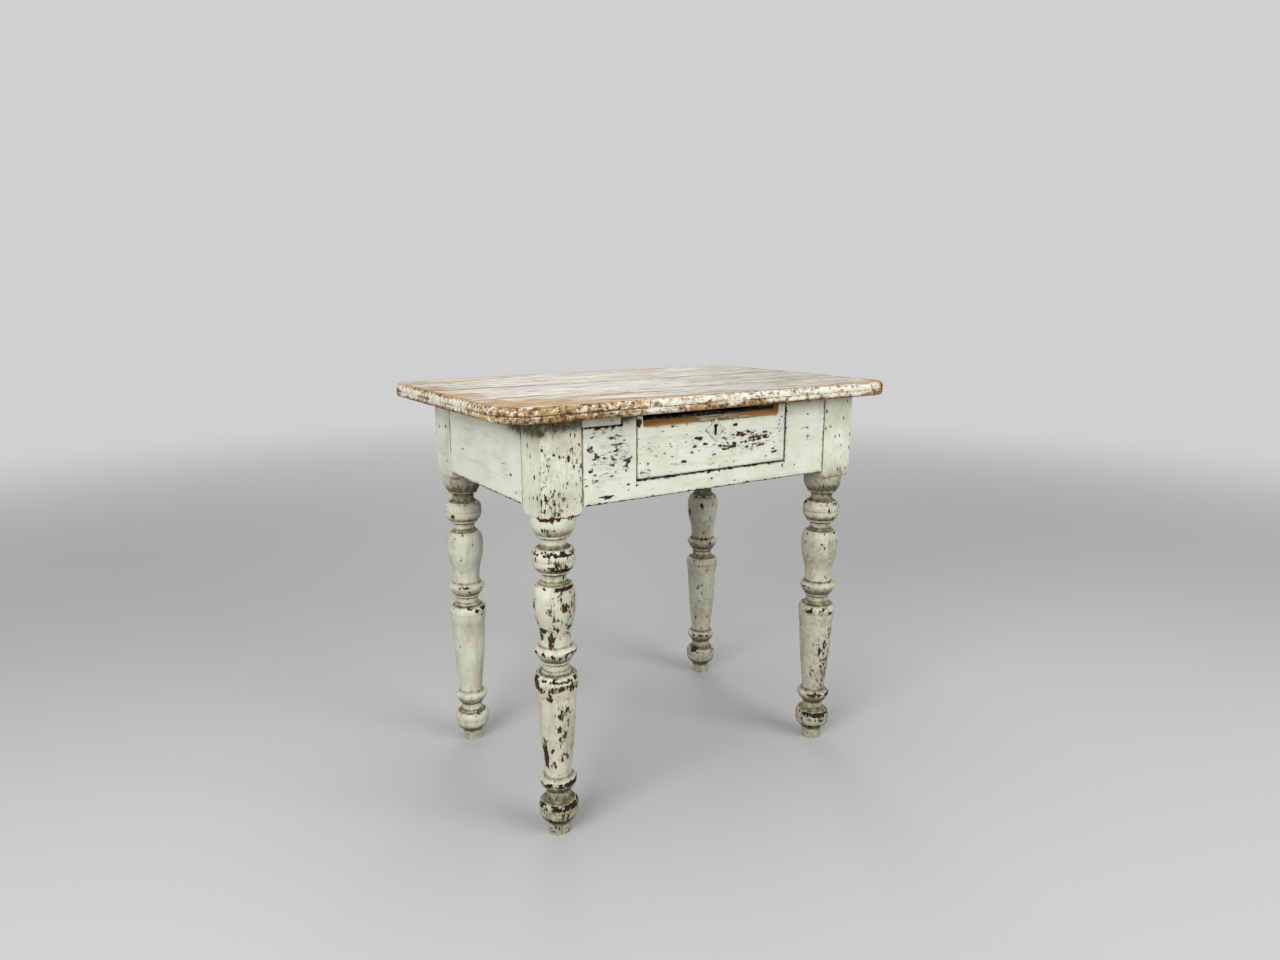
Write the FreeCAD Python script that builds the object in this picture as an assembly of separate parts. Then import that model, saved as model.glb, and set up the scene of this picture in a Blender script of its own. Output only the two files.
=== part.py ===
import FreeCAD, Part
import os

from FreeCAD import Vector

# Overall sizes, in millimetres
table_height = 770.0
top_length = 851.0
top_width = 552.0
top_thickness = 26.0
end_overhang = 78.5
side_overhang = 40.0
leg_block = 75.0
block_length = 162.0
apron_height = 149.0
apron_thickness = 24.0
apron_setback = 1.5

# Table top
top_corner_radius = 62.0
top_edge_round = 9.0
top_under_round = 6.0
quirk_drop = 13.0
quirk_height = 1.8
quirk_depth = 1.8
board_gap = 0.4
board_joint_shares = (0.254, 0.585, 0.734)

# Square head of each leg
block_arris = 4.0
pommel_radius = 46.0
pommel_height = 10.0

# Turned part of each leg, from the floor up
foot_height = 25.0
foot_tip_radius = 18.5
foot_radius = 20.5
ball_lower_height = 24.0
ball_upper_height = 15.5
ball_radius = 34.5
ball_top_radius = 31.5
fillet_step = 1.6
ankle_height = 18.0
ankle_radius = 22.0
ankle_straight = 2.0
lower_ring_under = 17.5
lower_ring_rim = 3.5
lower_ring_cove = 16.0
lower_ring_radius = 33.4
taper_foot_radius = 23.2
taper_head_radius = 34.4
shoulder_rise = 22.0
shoulder_radius = 36.8
shoulder_round = 17.5
shoulder_top_radius = 34.4
mid_neck_height = 18.0
mid_neck_radius = 23.0
mid_neck_straight = 3.0
ring_collar_radius = 25.8
mid_ring_under = 18.0
mid_ring_rim = 2.5
mid_ring_cove = 15.0
mid_ring_radius = 36.8
waist_radius = 27.0
vase_stem = 34.0
vase_stem_radius = 31.4
vase_rise = 37.0
vase_radius = 36.6
vase_round = 29.0
vase_top_radius = 31.0
vase_neck_height = 16.0
vase_neck_radius = 21.6
vase_neck_straight = 5.0
collar_height = 3.0
bulb_collar_radius = 28.0
bulb_lower_height = 19.0
bulb_lower_radius = 36.5
bulb_groove = 0.9
bulb_round_height = 20.0
bulb_top_radius = 31.0
bulb_neck_height = 14.0
bulb_neck_radius = 22.2
bulb_neck_straight = 6.0
cup_collar_radius = 29.3
cup_height = 33.0
cup_radius = 36.8

# How far each turned curve swells or hollows, as a share of its chord
ball_lower_share = 0.19
ball_upper_share = 0.14
neck_share = -0.2
cove_share = -0.15
ring_under_share = 0.05
taper_share = 0.012
shoulder_rise_share = 0.03
shoulder_round_share = 0.13
vase_stem_share = -0.04
vase_rise_share = 0.045
vase_round_share = 0.08
bulb_lower_share = 0.14
bulb_round_share = 0.15
cup_share = 0.12

# Pegged mortise and tenon joints
tenon_thickness = 10.0
tenon_length = 40.0
tenon_shoulder = 12.0
joint_clearance = 0.15
peg_diameter = 8.0
peg_length = 30.0
peg_inset = 16.0
peg_clearance = 0.05
peg_height_shares = (0.09, 0.63)

# Drawer opening, saw kerf and let-in strip of the front apron
cheek_length = 103.5
rail_height = 33.0
kerf_width = 1.2
kerf_length = 11.0
patch_length_share = 0.715
patch_height = 18.0
patch_thickness = 8.0

# Runners, guides and kickers of the drawer
runner_width = 48.0
runner_thickness = 24.0
runner_tongue_length = 10.0
runner_tongue_height = 12.0
runner_tongue_inset = 5.0
guide_width = 20.0
guide_height = 24.0
kicker_width = 42.0
kicker_thickness = 20.0
kicker_screw_diameter = 4.5
kicker_screw_head = 9.0
kicker_screw_length = 32.0
screw_clearance = 0.05

# Glue blocks under the top
glue_block_leg = 28.0
glue_block_length = 50.0
glue_block_end_share = 0.5
glue_block_room_share = 0.6

# Drawer
side_gap = 1.5
running_gap = 0.3
rear_gap = 0.3
front_thickness = 22.0
front_bottom_gap = 1.3
front_top_gap = 4.0
front_corner_round = 5.0
drawer_side_thickness = 12.0
drawer_side_height = 94.0
drawer_back_thickness = 12.0
drawer_back_drop = 6.0
bottom_thickness = 8.0
bottom_rise = 12.0
bottom_gap = 0.4
groove_depth = 6.0
groove_clearance = 0.15
bottom_board_shares = (0.34, 0.68)
tail_length = 15.0
tail_count = 3
tail_root_share = 0.6
tail_slope_share = 0.16
tail_clearance = 0.1
nail_diameter = 2.2
nail_head_diameter = 5.0
nail_head_height = 0.8
nail_length = 26.0
nail_places_shares = (-0.72, -0.24, 0.24, 0.72)

# Finger scoop along the drawer's upper edge
scoop_left_margin = 12.0
scoop_right_margin = 17.0
scoop_front_depth = 21.0
scoop_back_depth = 9.0
scoop_corner_radius = 8.0

# Keyhole, escutcheon and lock
keyhole_height = 80.0
keyhole_radius = 3.6
keyhole_slot = 5.2
keyhole_length = 16.0
escutcheon_width = 47.0
escutcheon_rise = 20.5
escutcheon_drop = 21.0
escutcheon_offset = 7.0
escutcheon_thickness = 1.2
escutcheon_hollow_share = 0.06
lock_plate_width = 60.0
lock_plate_height = 58.0
lock_plate_thickness = 2.0
lock_case_width = 48.0
lock_case_height = 50.0
lock_case_depth = 11.0
lock_case_wall = 1.5
bolt_width = 26.0
bolt_thickness = 5.0
bolt_head_height = 17.0
bolt_leg_height = 27.0
bolt_leg_margin = 1.0
bolt_throw = 18.0
bolt_clearance = 0.3
bolt_foot = 3.0
bolt_mortise_spare = 2.0
post_diameter = 3.0
lock_screw_diameter = 3.0
lock_screw_head = 5.6
lock_screw_inset = 3.8
lock_screw_length = 14.0

# One overrun serves every cut that passes clean through, one tolerance every search for an edge
overrun = 2.0
edge_tolerance = 0.01

# Levels and faces worked out from the sizes above
underside = table_height - top_thickness
apron_bottom = underside - apron_height
block_bottom = underside - block_length
frame_x = top_length / 2 - end_overhang
frame_y = top_width / 2 - side_overhang
block_inner_x = frame_x - leg_block
block_inner_y = frame_y - leg_block
leg_x = frame_x - leg_block / 2
leg_y = frame_y - leg_block / 2
apron_face_x = frame_x - apron_setback
apron_face_y = frame_y - apron_setback
apron_inner_x = apron_face_x - apron_thickness
apron_inner_y = apron_face_y - apron_thickness
tenon_depth = apron_setback + (apron_thickness - tenon_thickness) / 2
tenon_bottom = apron_bottom + tenon_shoulder
tenon_top = underside - tenon_shoulder
peg_heights = [tenon_bottom + share * (tenon_top - tenon_bottom) for share in peg_height_shares]
opening_x = block_inner_x - cheek_length
patch_length = cheek_length * patch_length_share
rail_top = apron_bottom + rail_height
runner_outer_x = opening_x + guide_width
glue_block_room = block_inner_x - runner_outer_x
glue_block_side_length = glue_block_room * glue_block_room_share
drawer_x = opening_x - side_gap
drawer_bottom_z = rail_top + running_gap
side_inner_x = drawer_x - drawer_side_thickness
side_top = drawer_bottom_z + drawer_side_height
front_face_y = -apron_face_y
front_inner_y = front_face_y + front_thickness
front_bottom = rail_top + front_bottom_gap
front_top = underside - front_top_gap
drawer_end_y = apron_inner_y - rear_gap
back_front_y = drawer_end_y - drawer_back_thickness
bottom_low = drawer_bottom_z + bottom_rise
bottom_high = bottom_low + bottom_thickness
back_bottom = bottom_high + groove_clearance
back_top = side_top - drawer_back_drop
keyhole_z = drawer_bottom_z + keyhole_height
lock_top = front_top - scoop_back_depth
plate_back_y = front_inner_y + lock_plate_thickness
case_back_y = plate_back_y + lock_case_depth
case_cavity_y = case_back_y - lock_case_wall
bolt_front_y = plate_back_y + bolt_clearance
bolt_back_y = bolt_front_y + bolt_thickness
bolt_half = bolt_width / 2
bolt_leg_inner = keyhole_radius + bolt_leg_margin
bolt_head_low = lock_top - bolt_head_height
bolt_low = bolt_head_low - bolt_leg_height
post_x = (bolt_leg_inner + bolt_half) / 2
post_radius = post_diameter / 2
slot_radius = post_radius + bolt_clearance
slot_low = bolt_low + bolt_foot
slot_high = slot_low + bolt_throw + 2 * slot_radius
post_z = slot_high - slot_radius

ORIGIN = Vector(0, 0, 0)
ALONG_X = Vector(1, 0, 0)
ALONG_Y = Vector(0, 1, 0)
ALONG_Z = Vector(0, 0, 1)
SIDES = {"left": -1, "right": 1}


def box(x0, x1, y0, y1, z0, z1):
    return Part.makeBox(x1 - x0, y1 - y0, z1 - z0, Vector(x0, y0, z0))


def rod(radius, length, start, direction):
    return Part.makeCylinder(radius, length, start, direction)


def placed(shape, side_x, side_y):
    # A shape made in the +X +Y quarter, brought to another quarter
    if side_x < 0:
        shape = shape.mirror(ORIGIN, ALONG_X)
    if side_y < 0:
        shape = shape.mirror(ORIGIN, ALONG_Y)
    return shape


def prism(points, direction):
    return Part.Face(Part.makePolygon(points + points[:1])).extrude(direction)


def save(name, shape):
    shape.exportStep("parts/%s.step" % name)


def edges_at_height(shape, height):
    # The outline edges that lie wholly at one height
    return [edge for edge in shape.Edges
            if all(abs(vertex.Z - height) < edge_tolerance for vertex in edge.Vertexes)]


# Table top: one moulded slab, sawn into its boards


def rounded_plate(inset, low, high):
    half_x = top_length / 2 - inset
    half_y = top_width / 2 - inset
    plate = box(-half_x, half_x, -half_y, half_y, low, high)
    uprights = [edge for edge in plate.Edges if edge.Vertexes[0].Z != edge.Vertexes[1].Z]
    return plate.makeFillet(top_corner_radius - inset, uprights)


def moulded_slab():
    slab = rounded_plate(0, underside, table_height)
    slab = slab.makeFillet(top_edge_round, edges_at_height(slab, table_height))
    slab = slab.makeFillet(top_under_round, edges_at_height(slab, underside))
    quirk_high = table_height - quirk_drop
    quirk_low = quirk_high - quirk_height
    ring = rounded_plate(-overrun, quirk_low, quirk_high)
    ring = ring.cut(rounded_plate(quirk_depth, quirk_low - overrun, quirk_high + overrun))
    return slab.cut(ring)


def board_edges():
    half_y = top_width / 2
    joints = [top_width * share - half_y for share in board_joint_shares]
    return [-half_y - overrun] + joints + [half_y + overrun]


def kicker_screw_places():
    # One screw through each kicker into each board of the top
    lines = board_edges()
    kicker_x = runner_outer_x - kicker_width / 2
    places = []
    for low, high in zip(lines[:-1], lines[1:]):
        y = (max(low, -apron_inner_y) + min(high, apron_inner_y)) / 2
        for side in SIDES.values():
            places.append(Vector(side * kicker_x, y, underside - kicker_thickness))
    return places


def kicker_screw(place, clearance):
    radius = kicker_screw_diameter / 2 + clearance
    head = kicker_screw_head / 2 + clearance
    shank = rod(radius, kicker_screw_length + clearance, place, ALONG_Z)
    cone = Part.makeCone(head, radius, head - radius, place, ALONG_Z)
    return shank.fuse(cone)


def bolt_mortise():
    reach = lock_top + bolt_throw + bolt_mortise_spare
    return box(-bolt_half - bolt_clearance, bolt_half + bolt_clearance,
               bolt_front_y - bolt_clearance, bolt_back_y + bolt_clearance,
               underside - overrun, reach)


def make_top():
    slab = moulded_slab().cut(bolt_mortise())
    for place in kicker_screw_places():
        slab = slab.cut(kicker_screw(place, screw_clearance))
    lines = board_edges()
    names = ("front", "mid_front", "mid_back", "back")
    for name, low, high in zip(names, lines[:-1], lines[1:]):
        strip = box(-top_length, top_length, low + board_gap / 2, high - board_gap / 2,
                    underside - overrun, table_height + overrun)
        save("top_board_" + name, slab.common(strip))


# Legs: a turned profile under a square head


class Turning:
    def __init__(self, radius):
        self.radius = radius
        self.height = 0
        self.edges = [Part.makeLine(ORIGIN, Vector(radius, 0, 0))]

    def point(self):
        return Vector(self.radius, 0, self.height)

    def straight(self, rise, radius):
        start = self.point()
        self.radius = radius
        self.height += rise
        self.edges.append(Part.makeLine(start, self.point()))

    def curve(self, rise, radius, swell_share):
        # An arc to the new height and radius, swelling outwards where the share is positive
        start = self.point()
        self.radius = radius
        self.height += rise
        chord = self.point() - start
        outward = Vector(chord.z, 0, -chord.x)
        middle = start + chord * (1 / 2) + outward * swell_share
        self.edges.append(Part.Arc(start, middle, self.point()).toShape())

    def solid(self):
        crown = Vector(0, 0, self.height)
        self.edges.append(Part.makeLine(self.point(), crown))
        self.edges.append(Part.makeLine(crown, ORIGIN))
        return Part.Face(Part.Wire(self.edges)).revolve(ORIGIN, ALONG_Z, 360)


def turned_part():
    turn = Turning(foot_tip_radius)
    turn.straight(foot_height, foot_radius)
    turn.curve(ball_lower_height, ball_radius, ball_lower_share)
    turn.curve(ball_upper_height, ball_top_radius, ball_upper_share)
    turn.straight(0, ball_top_radius - fillet_step)
    turn.curve(ankle_height, ankle_radius, neck_share)
    turn.straight(ankle_straight, ankle_radius)
    turn.curve(lower_ring_under, lower_ring_radius, ring_under_share)
    turn.straight(lower_ring_rim, lower_ring_radius)
    turn.curve(lower_ring_cove, taper_foot_radius, cove_share)

    # The long taper takes up whatever height the other members leave
    upper = shoulder_rise + shoulder_round + mid_neck_height + mid_neck_straight
    upper += collar_height + mid_ring_under + mid_ring_rim + mid_ring_cove
    upper += vase_stem + vase_rise + vase_round + vase_neck_height + vase_neck_straight
    upper += collar_height + bulb_lower_height + bulb_round_height
    upper += bulb_neck_height + bulb_neck_straight + collar_height + cup_height
    turn.curve(block_bottom - turn.height - upper, taper_head_radius, taper_share)
    turn.curve(shoulder_rise, shoulder_radius, shoulder_rise_share)
    turn.curve(shoulder_round, shoulder_top_radius, shoulder_round_share)
    turn.straight(0, shoulder_top_radius - fillet_step)
    turn.curve(mid_neck_height, mid_neck_radius, neck_share)
    turn.straight(mid_neck_straight, mid_neck_radius)
    turn.straight(0, ring_collar_radius)
    turn.straight(collar_height, ring_collar_radius)
    turn.curve(mid_ring_under, mid_ring_radius, ring_under_share)
    turn.straight(mid_ring_rim, mid_ring_radius)
    turn.curve(mid_ring_cove, waist_radius, cove_share)
    turn.curve(vase_stem, vase_stem_radius, vase_stem_share)
    turn.curve(vase_rise, vase_radius, vase_rise_share)
    turn.curve(vase_round, vase_top_radius, vase_round_share)
    turn.straight(0, vase_top_radius - fillet_step)
    turn.curve(vase_neck_height, vase_neck_radius, neck_share)
    turn.straight(vase_neck_straight, vase_neck_radius)
    turn.straight(0, bulb_collar_radius)
    turn.straight(collar_height, bulb_collar_radius)
    turn.curve(bulb_lower_height, bulb_lower_radius, bulb_lower_share)
    turn.straight(0, bulb_lower_radius - bulb_groove)
    turn.curve(bulb_round_height, bulb_top_radius, bulb_round_share)
    turn.straight(0, bulb_top_radius - fillet_step)
    turn.curve(bulb_neck_height, bulb_neck_radius, neck_share)
    turn.straight(bulb_neck_straight, bulb_neck_radius)
    turn.straight(0, cup_collar_radius)
    turn.straight(collar_height, cup_collar_radius)
    turn.curve(cup_height, cup_radius, cup_share)
    return turn.solid()


def leg_head():
    # Square block with eased arrises and its four lower corners turned away
    half = leg_block / 2
    block = box(-half, half, -half, half, block_bottom, underside)
    uprights = [edge for edge in block.Edges if edge.Vertexes[0].Z != edge.Vertexes[1].Z]
    block = block.makeFillet(block_arris, uprights)
    corner = leg_block
    shoulder = block_bottom + pommel_height
    points = [Vector(0, 0, block_bottom), Vector(pommel_radius, 0, block_bottom),
              Vector(pommel_radius + pommel_height, 0, shoulder), Vector(corner, 0, shoulder),
              Vector(corner, 0, underside), Vector(0, 0, underside)]
    outline = Part.Face(Part.makePolygon(points + points[:1]))
    return block.common(outline.revolve(ORIGIN, ALONG_Z, 360))


def tenon_along_x(clearance):
    # The tenon that enters a +X +Y leg from its inner face, along X
    y_high = frame_y - tenon_depth + clearance
    y_low = frame_y - tenon_depth - tenon_thickness - clearance
    return box(block_inner_x - overrun, block_inner_x + tenon_length + clearance,
               y_low, y_high, tenon_bottom - clearance, tenon_top + clearance)


def tenon_along_y(clearance):
    x_high = frame_x - tenon_depth + clearance
    x_low = frame_x - tenon_depth - tenon_thickness - clearance
    return box(x_low, x_high, block_inner_y - overrun, block_inner_y + tenon_length + clearance,
               tenon_bottom - clearance, tenon_top + clearance)


def corner_pegs(clearance):
    # The pegs of one +X +Y corner: two through each tenon
    radius = peg_diameter / 2 + clearance
    length = peg_length + clearance
    pegs = []
    for z in peg_heights:
        pegs.append(rod(radius, length, Vector(block_inner_x + peg_inset, frame_y, z), -ALONG_Y))
        pegs.append(rod(radius, length, Vector(frame_x, block_inner_y + peg_inset, z), -ALONG_X))
    return pegs


CORNERS = {"front_left": (-1, -1), "front_right": (1, -1), "back_left": (-1, 1), "back_right": (1, 1)}


def make_legs():
    leg = turned_part().fuse(leg_head())
    leg.translate(Vector(leg_x, leg_y, 0))
    leg = leg.cut(tenon_along_x(joint_clearance)).cut(tenon_along_y(joint_clearance))
    for hole in corner_pegs(peg_clearance):
        leg = leg.cut(hole)
    for name, (side_x, side_y) in CORNERS.items():
        save("leg_" + name, placed(leg, side_x, side_y))


def make_pegs():
    pegs = [placed(peg, *corner) for corner in CORNERS.values() for peg in corner_pegs(0)]
    save("tenon_pegs", Part.makeCompound(pegs))


# Aprons: boards tenoned into the leg heads


def all_peg_holes(shape):
    for corner in CORNERS.values():
        for hole in corner_pegs(peg_clearance):
            shape = shape.cut(placed(hole, *corner))
    return shape


def long_apron():
    # Board along X at the back; its mirror image is the blank for the front
    board = box(-block_inner_x, block_inner_x, apron_inner_y, apron_face_y, apron_bottom, underside)
    for side in SIDES.values():
        board = board.fuse(placed(tenon_along_x(0), side, 1))
    return all_peg_holes(board.removeSplitter())


def end_apron():
    board = box(apron_inner_x, apron_face_x, -block_inner_y, block_inner_y, apron_bottom, underside)
    for side in SIDES.values():
        board = board.fuse(placed(tenon_along_y(0), 1, side))
    return all_peg_holes(board.removeSplitter())


def runner_tongue(side, clearance):
    inset = runner_tongue_inset - clearance
    middle = rail_top - runner_thickness / 2
    half = runner_tongue_height / 2 + clearance
    reach = apron_inner_y + runner_tongue_length + clearance
    low_x, high_x = sorted((side * (runner_outer_x - runner_width + inset), side * (runner_outer_x - inset)))
    return box(low_x, high_x, -reach, reach, middle - half, middle + half)


def patch(clearance):
    return box(-block_inner_x - clearance, -block_inner_x + patch_length + clearance,
               front_face_y, front_face_y + patch_thickness + clearance,
               underside - patch_height - clearance, underside + clearance)


def make_aprons():
    back = long_apron()
    front = placed(back, 1, -1)
    through = -apron_inner_y + overrun
    front = front.cut(box(-opening_x, opening_x, -frame_y, through, rail_top, underside + overrun))
    front = front.cut(box(-opening_x, -opening_x + kerf_width, -frame_y, through,
                          rail_top - kerf_length, rail_top + overrun))
    front = front.cut(patch(joint_clearance))
    for side in SIDES.values():
        back = back.cut(runner_tongue(side, joint_clearance))
        front = front.cut(runner_tongue(side, joint_clearance))
    save("front_apron", front)
    save("back_apron", back)
    save("apron_patch", patch(0))
    for name, side in SIDES.items():
        save(name + "_apron", placed(end_apron(), side, 1))


# Runners, guides, kickers and glue blocks under the top


def make_drawer_frame():
    for name, side in SIDES.items():
        inner, outer = side * (runner_outer_x - runner_width), side * runner_outer_x
        low_x, high_x = sorted((inner, outer))
        runner = box(low_x, high_x, -apron_inner_y, apron_inner_y, rail_top - runner_thickness, rail_top)
        save("drawer_runner_" + name, runner.fuse(runner_tongue(side, 0)).removeSplitter())

        low_x, high_x = sorted((side * opening_x, side * runner_outer_x))
        save("drawer_guide_" + name,
             box(low_x, high_x, -apron_inner_y, apron_inner_y, rail_top, rail_top + guide_height))

        low_x, high_x = sorted((side * (runner_outer_x - kicker_width), side * runner_outer_x))
        kicker = box(low_x, high_x, -apron_inner_y, apron_inner_y, underside - kicker_thickness, underside)
        for place in kicker_screw_places():
            kicker = kicker.cut(kicker_screw(place, screw_clearance))
        save("kicker_" + name, kicker)
    save("kicker_screws", Part.makeCompound([kicker_screw(place, 0) for place in kicker_screw_places()]))


def make_glue_blocks():
    # Triangular blocks in the angle between an apron and the underside of the top
    down = Vector(0, 0, glue_block_leg)
    side_middle_x = runner_outer_x + glue_block_room / 2
    blocks = []
    for side in SIDES.values():
        for end in SIDES.values():
            y = end * block_inner_y * glue_block_end_share - glue_block_length / 2
            corner = Vector(side * apron_inner_x, y, underside)
            inward = Vector(side * glue_block_leg, 0, 0)
            blocks.append(prism([corner, corner - inward, corner - down], ALONG_Y * glue_block_length))
            x = side * side_middle_x - glue_block_side_length / 2
            corner = Vector(x, end * apron_inner_y, underside)
            inward = Vector(0, end * glue_block_leg, 0)
            blocks.append(prism([corner, corner - inward, corner - down], ALONG_X * glue_block_side_length))
    save("glue_blocks", Part.makeCompound(blocks))


# Drawer: dovetailed box with a loose bottom in grooves


def tails(low, high, root_y, tip_y, x0, x1, clearance):
    # Dovetails that widen from their root towards the tip, across the thickness of a side
    pitch = (high - low) / tail_count
    half_root = pitch * tail_root_share / 2 + clearance
    flare = abs(tip_y - root_y) * tail_slope_share
    result = []
    for number in range(tail_count):
        z = low + pitch * (number + 1 / 2)
        points = [Vector(x0, root_y, z - half_root), Vector(x0, root_y, z + half_root),
                  Vector(x0, tip_y, z + half_root + flare), Vector(x0, tip_y, z - half_root - flare)]
        result.append(prism(points, ALONG_X * (x1 - x0)))
    return result


def front_tails(side, clearance):
    low_x, high_x = sorted((side * (side_inner_x - clearance), side * (drawer_x + clearance)))
    return tails(drawer_bottom_z, side_top, front_inner_y, front_inner_y - tail_length - clearance,
                 low_x, high_x, clearance)


def back_tails(side, clearance):
    low_x, high_x = sorted((side * (side_inner_x - clearance), side * (drawer_x + clearance)))
    return tails(back_bottom, back_top, back_front_y, drawer_end_y, low_x, high_x, clearance)


def bottom_panel(clearance):
    reach_x = side_inner_x + groove_depth - joint_clearance + clearance
    front_y = front_inner_y - groove_depth + joint_clearance - clearance
    return box(-reach_x, reach_x, front_y, drawer_end_y, bottom_low - clearance, bottom_high + clearance)


def make_drawer_sides():
    for name, side in SIDES.items():
        low_x, high_x = sorted((side * side_inner_x, side * drawer_x))
        board = box(low_x, high_x, front_inner_y, drawer_end_y, drawer_bottom_z, side_top)
        board = board.cut(box(low_x - overrun, high_x + overrun, back_front_y, drawer_end_y + overrun,
                              back_bottom, back_top))
        for tail in front_tails(side, 0) + back_tails(side, 0):
            board = board.fuse(tail)
        save("drawer_side_" + name, board.cut(bottom_panel(groove_clearance)).removeSplitter())


def bottom_nail(place, clearance):
    shank = rod(nail_diameter / 2 + clearance, nail_length, place, ALONG_Z)
    head_foot = place - ALONG_Z * nail_head_height
    head = rod(nail_head_diameter / 2 + clearance, nail_head_height, head_foot, ALONG_Z)
    return shank.fuse(head)


def nail_places():
    y = (back_front_y + drawer_end_y) / 2
    return [Vector(side_inner_x * share, y, bottom_low) for share in nail_places_shares]


def make_drawer_back():
    back = box(-drawer_x, drawer_x, back_front_y, drawer_end_y, back_bottom, back_top)
    for side in SIDES.values():
        for tail in back_tails(side, tail_clearance):
            back = back.cut(tail)
    for place in nail_places():
        back = back.cut(bottom_nail(place, screw_clearance))
    save("drawer_back", back)


def make_drawer_bottom():
    panel = bottom_panel(0)
    for place in nail_places():
        panel = panel.cut(bottom_nail(place, screw_clearance))
    limits = panel.BoundBox
    joints = [limits.YMin + limits.YLength * share for share in bottom_board_shares]
    lines = [limits.YMin - overrun] + joints + [limits.YMax + overrun]
    for name, low, high in zip(("front", "middle", "rear"), lines[:-1], lines[1:]):
        strip = box(-drawer_x, drawer_x, low + bottom_gap / 2, high - bottom_gap / 2,
                    bottom_low - overrun, bottom_high + overrun)
        save("drawer_bottom_" + name, panel.common(strip))
    save("bottom_nails", Part.makeCompound([bottom_nail(place, 0) for place in nail_places()]))


def scoop_outline(y, depth):
    left = -drawer_x + scoop_left_margin
    right = drawer_x - scoop_right_margin
    high = front_top + overrun
    low = front_top - depth
    radius = scoop_corner_radius
    lean = radius * (1 - 2 ** -0.5)
    edges = [
        Part.makeLine(Vector(left, y, high), Vector(left, y, low + radius)),
        Part.Arc(Vector(left, y, low + radius), Vector(left + lean, y, low + lean),
                 Vector(left + radius, y, low)).toShape(),
        Part.makeLine(Vector(left + radius, y, low), Vector(right - radius, y, low)),
        Part.Arc(Vector(right - radius, y, low), Vector(right - lean, y, low + lean),
                 Vector(right, y, low + radius)).toShape(),
        Part.makeLine(Vector(right, y, low + radius), Vector(right, y, high)),
        Part.makeLine(Vector(right, y, high), Vector(left, y, high)),
    ]
    return Part.Wire(edges)


def finger_scoop():
    # A slope that falls towards the front, stopped short of both ends
    return Part.makeLoft([scoop_outline(front_face_y, scoop_front_depth),
                          scoop_outline(front_inner_y, scoop_back_depth)], True, True)


def keyhole(y0, y1):
    barrel = rod(keyhole_radius, y1 - y0, Vector(0, y0, keyhole_z), ALONG_Y)
    half = keyhole_slot / 2
    return barrel.fuse(box(-half, half, y0, y1, keyhole_z - keyhole_length, keyhole_z))


def make_drawer_front():
    front = box(-drawer_x, drawer_x, front_face_y, front_inner_y, front_bottom, front_top)
    corners = [edge for edge in edges_at_height(front, front_top) if edge.Length < drawer_x]
    front = front.makeFillet(front_corner_round, corners)
    front = front.cut(finger_scoop())
    front = front.cut(keyhole(front_face_y - overrun, front_inner_y + overrun))
    for side in SIDES.values():
        for tail in front_tails(side, tail_clearance):
            front = front.cut(tail)
    front = front.cut(bottom_panel(groove_clearance))
    for place in lock_screw_places():
        front = front.cut(lock_screw(place, screw_clearance))
    save("drawer_front", front)


# Keyhole plate and drawer lock


def make_escutcheon():
    # A kite with slightly hollow sides
    middle = keyhole_z - escutcheon_offset
    half = escutcheon_width / 2
    y = front_face_y
    tips = [Vector(0, y, middle + escutcheon_rise), Vector(half, y, middle),
            Vector(0, y, middle - escutcheon_drop), Vector(-half, y, middle)]
    edges = []
    for start, end in zip(tips, tips[1:] + tips[:1]):
        inward = Vector(0, y, middle) - (start + end) * (1 / 2)
        waist = (start + end) * (1 / 2) + inward * (2 * escutcheon_hollow_share)
        edges.append(Part.Arc(start, waist, end).toShape())
    plate = Part.Face(Part.Wire(edges)).extrude(-ALONG_Y * escutcheon_thickness)
    proud = escutcheon_thickness + overrun
    save("escutcheon", plate.cut(keyhole(front_face_y - proud, front_face_y + overrun)))


def lock_screw_places():
    low = lock_top - lock_plate_height + lock_screw_inset
    high = lock_top - lock_screw_inset
    reach = lock_plate_width / 2 - lock_screw_inset
    return [Vector(side * reach, plate_back_y, z) for side in SIDES.values() for z in (low, high)]


def lock_screw(place, clearance):
    radius = lock_screw_diameter / 2 + clearance
    head = lock_screw_head / 2 + clearance
    shank = rod(radius, lock_screw_length + clearance, place, -ALONG_Y)
    return shank.fuse(Part.makeCone(head, radius, head - radius, place, -ALONG_Y))


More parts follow.
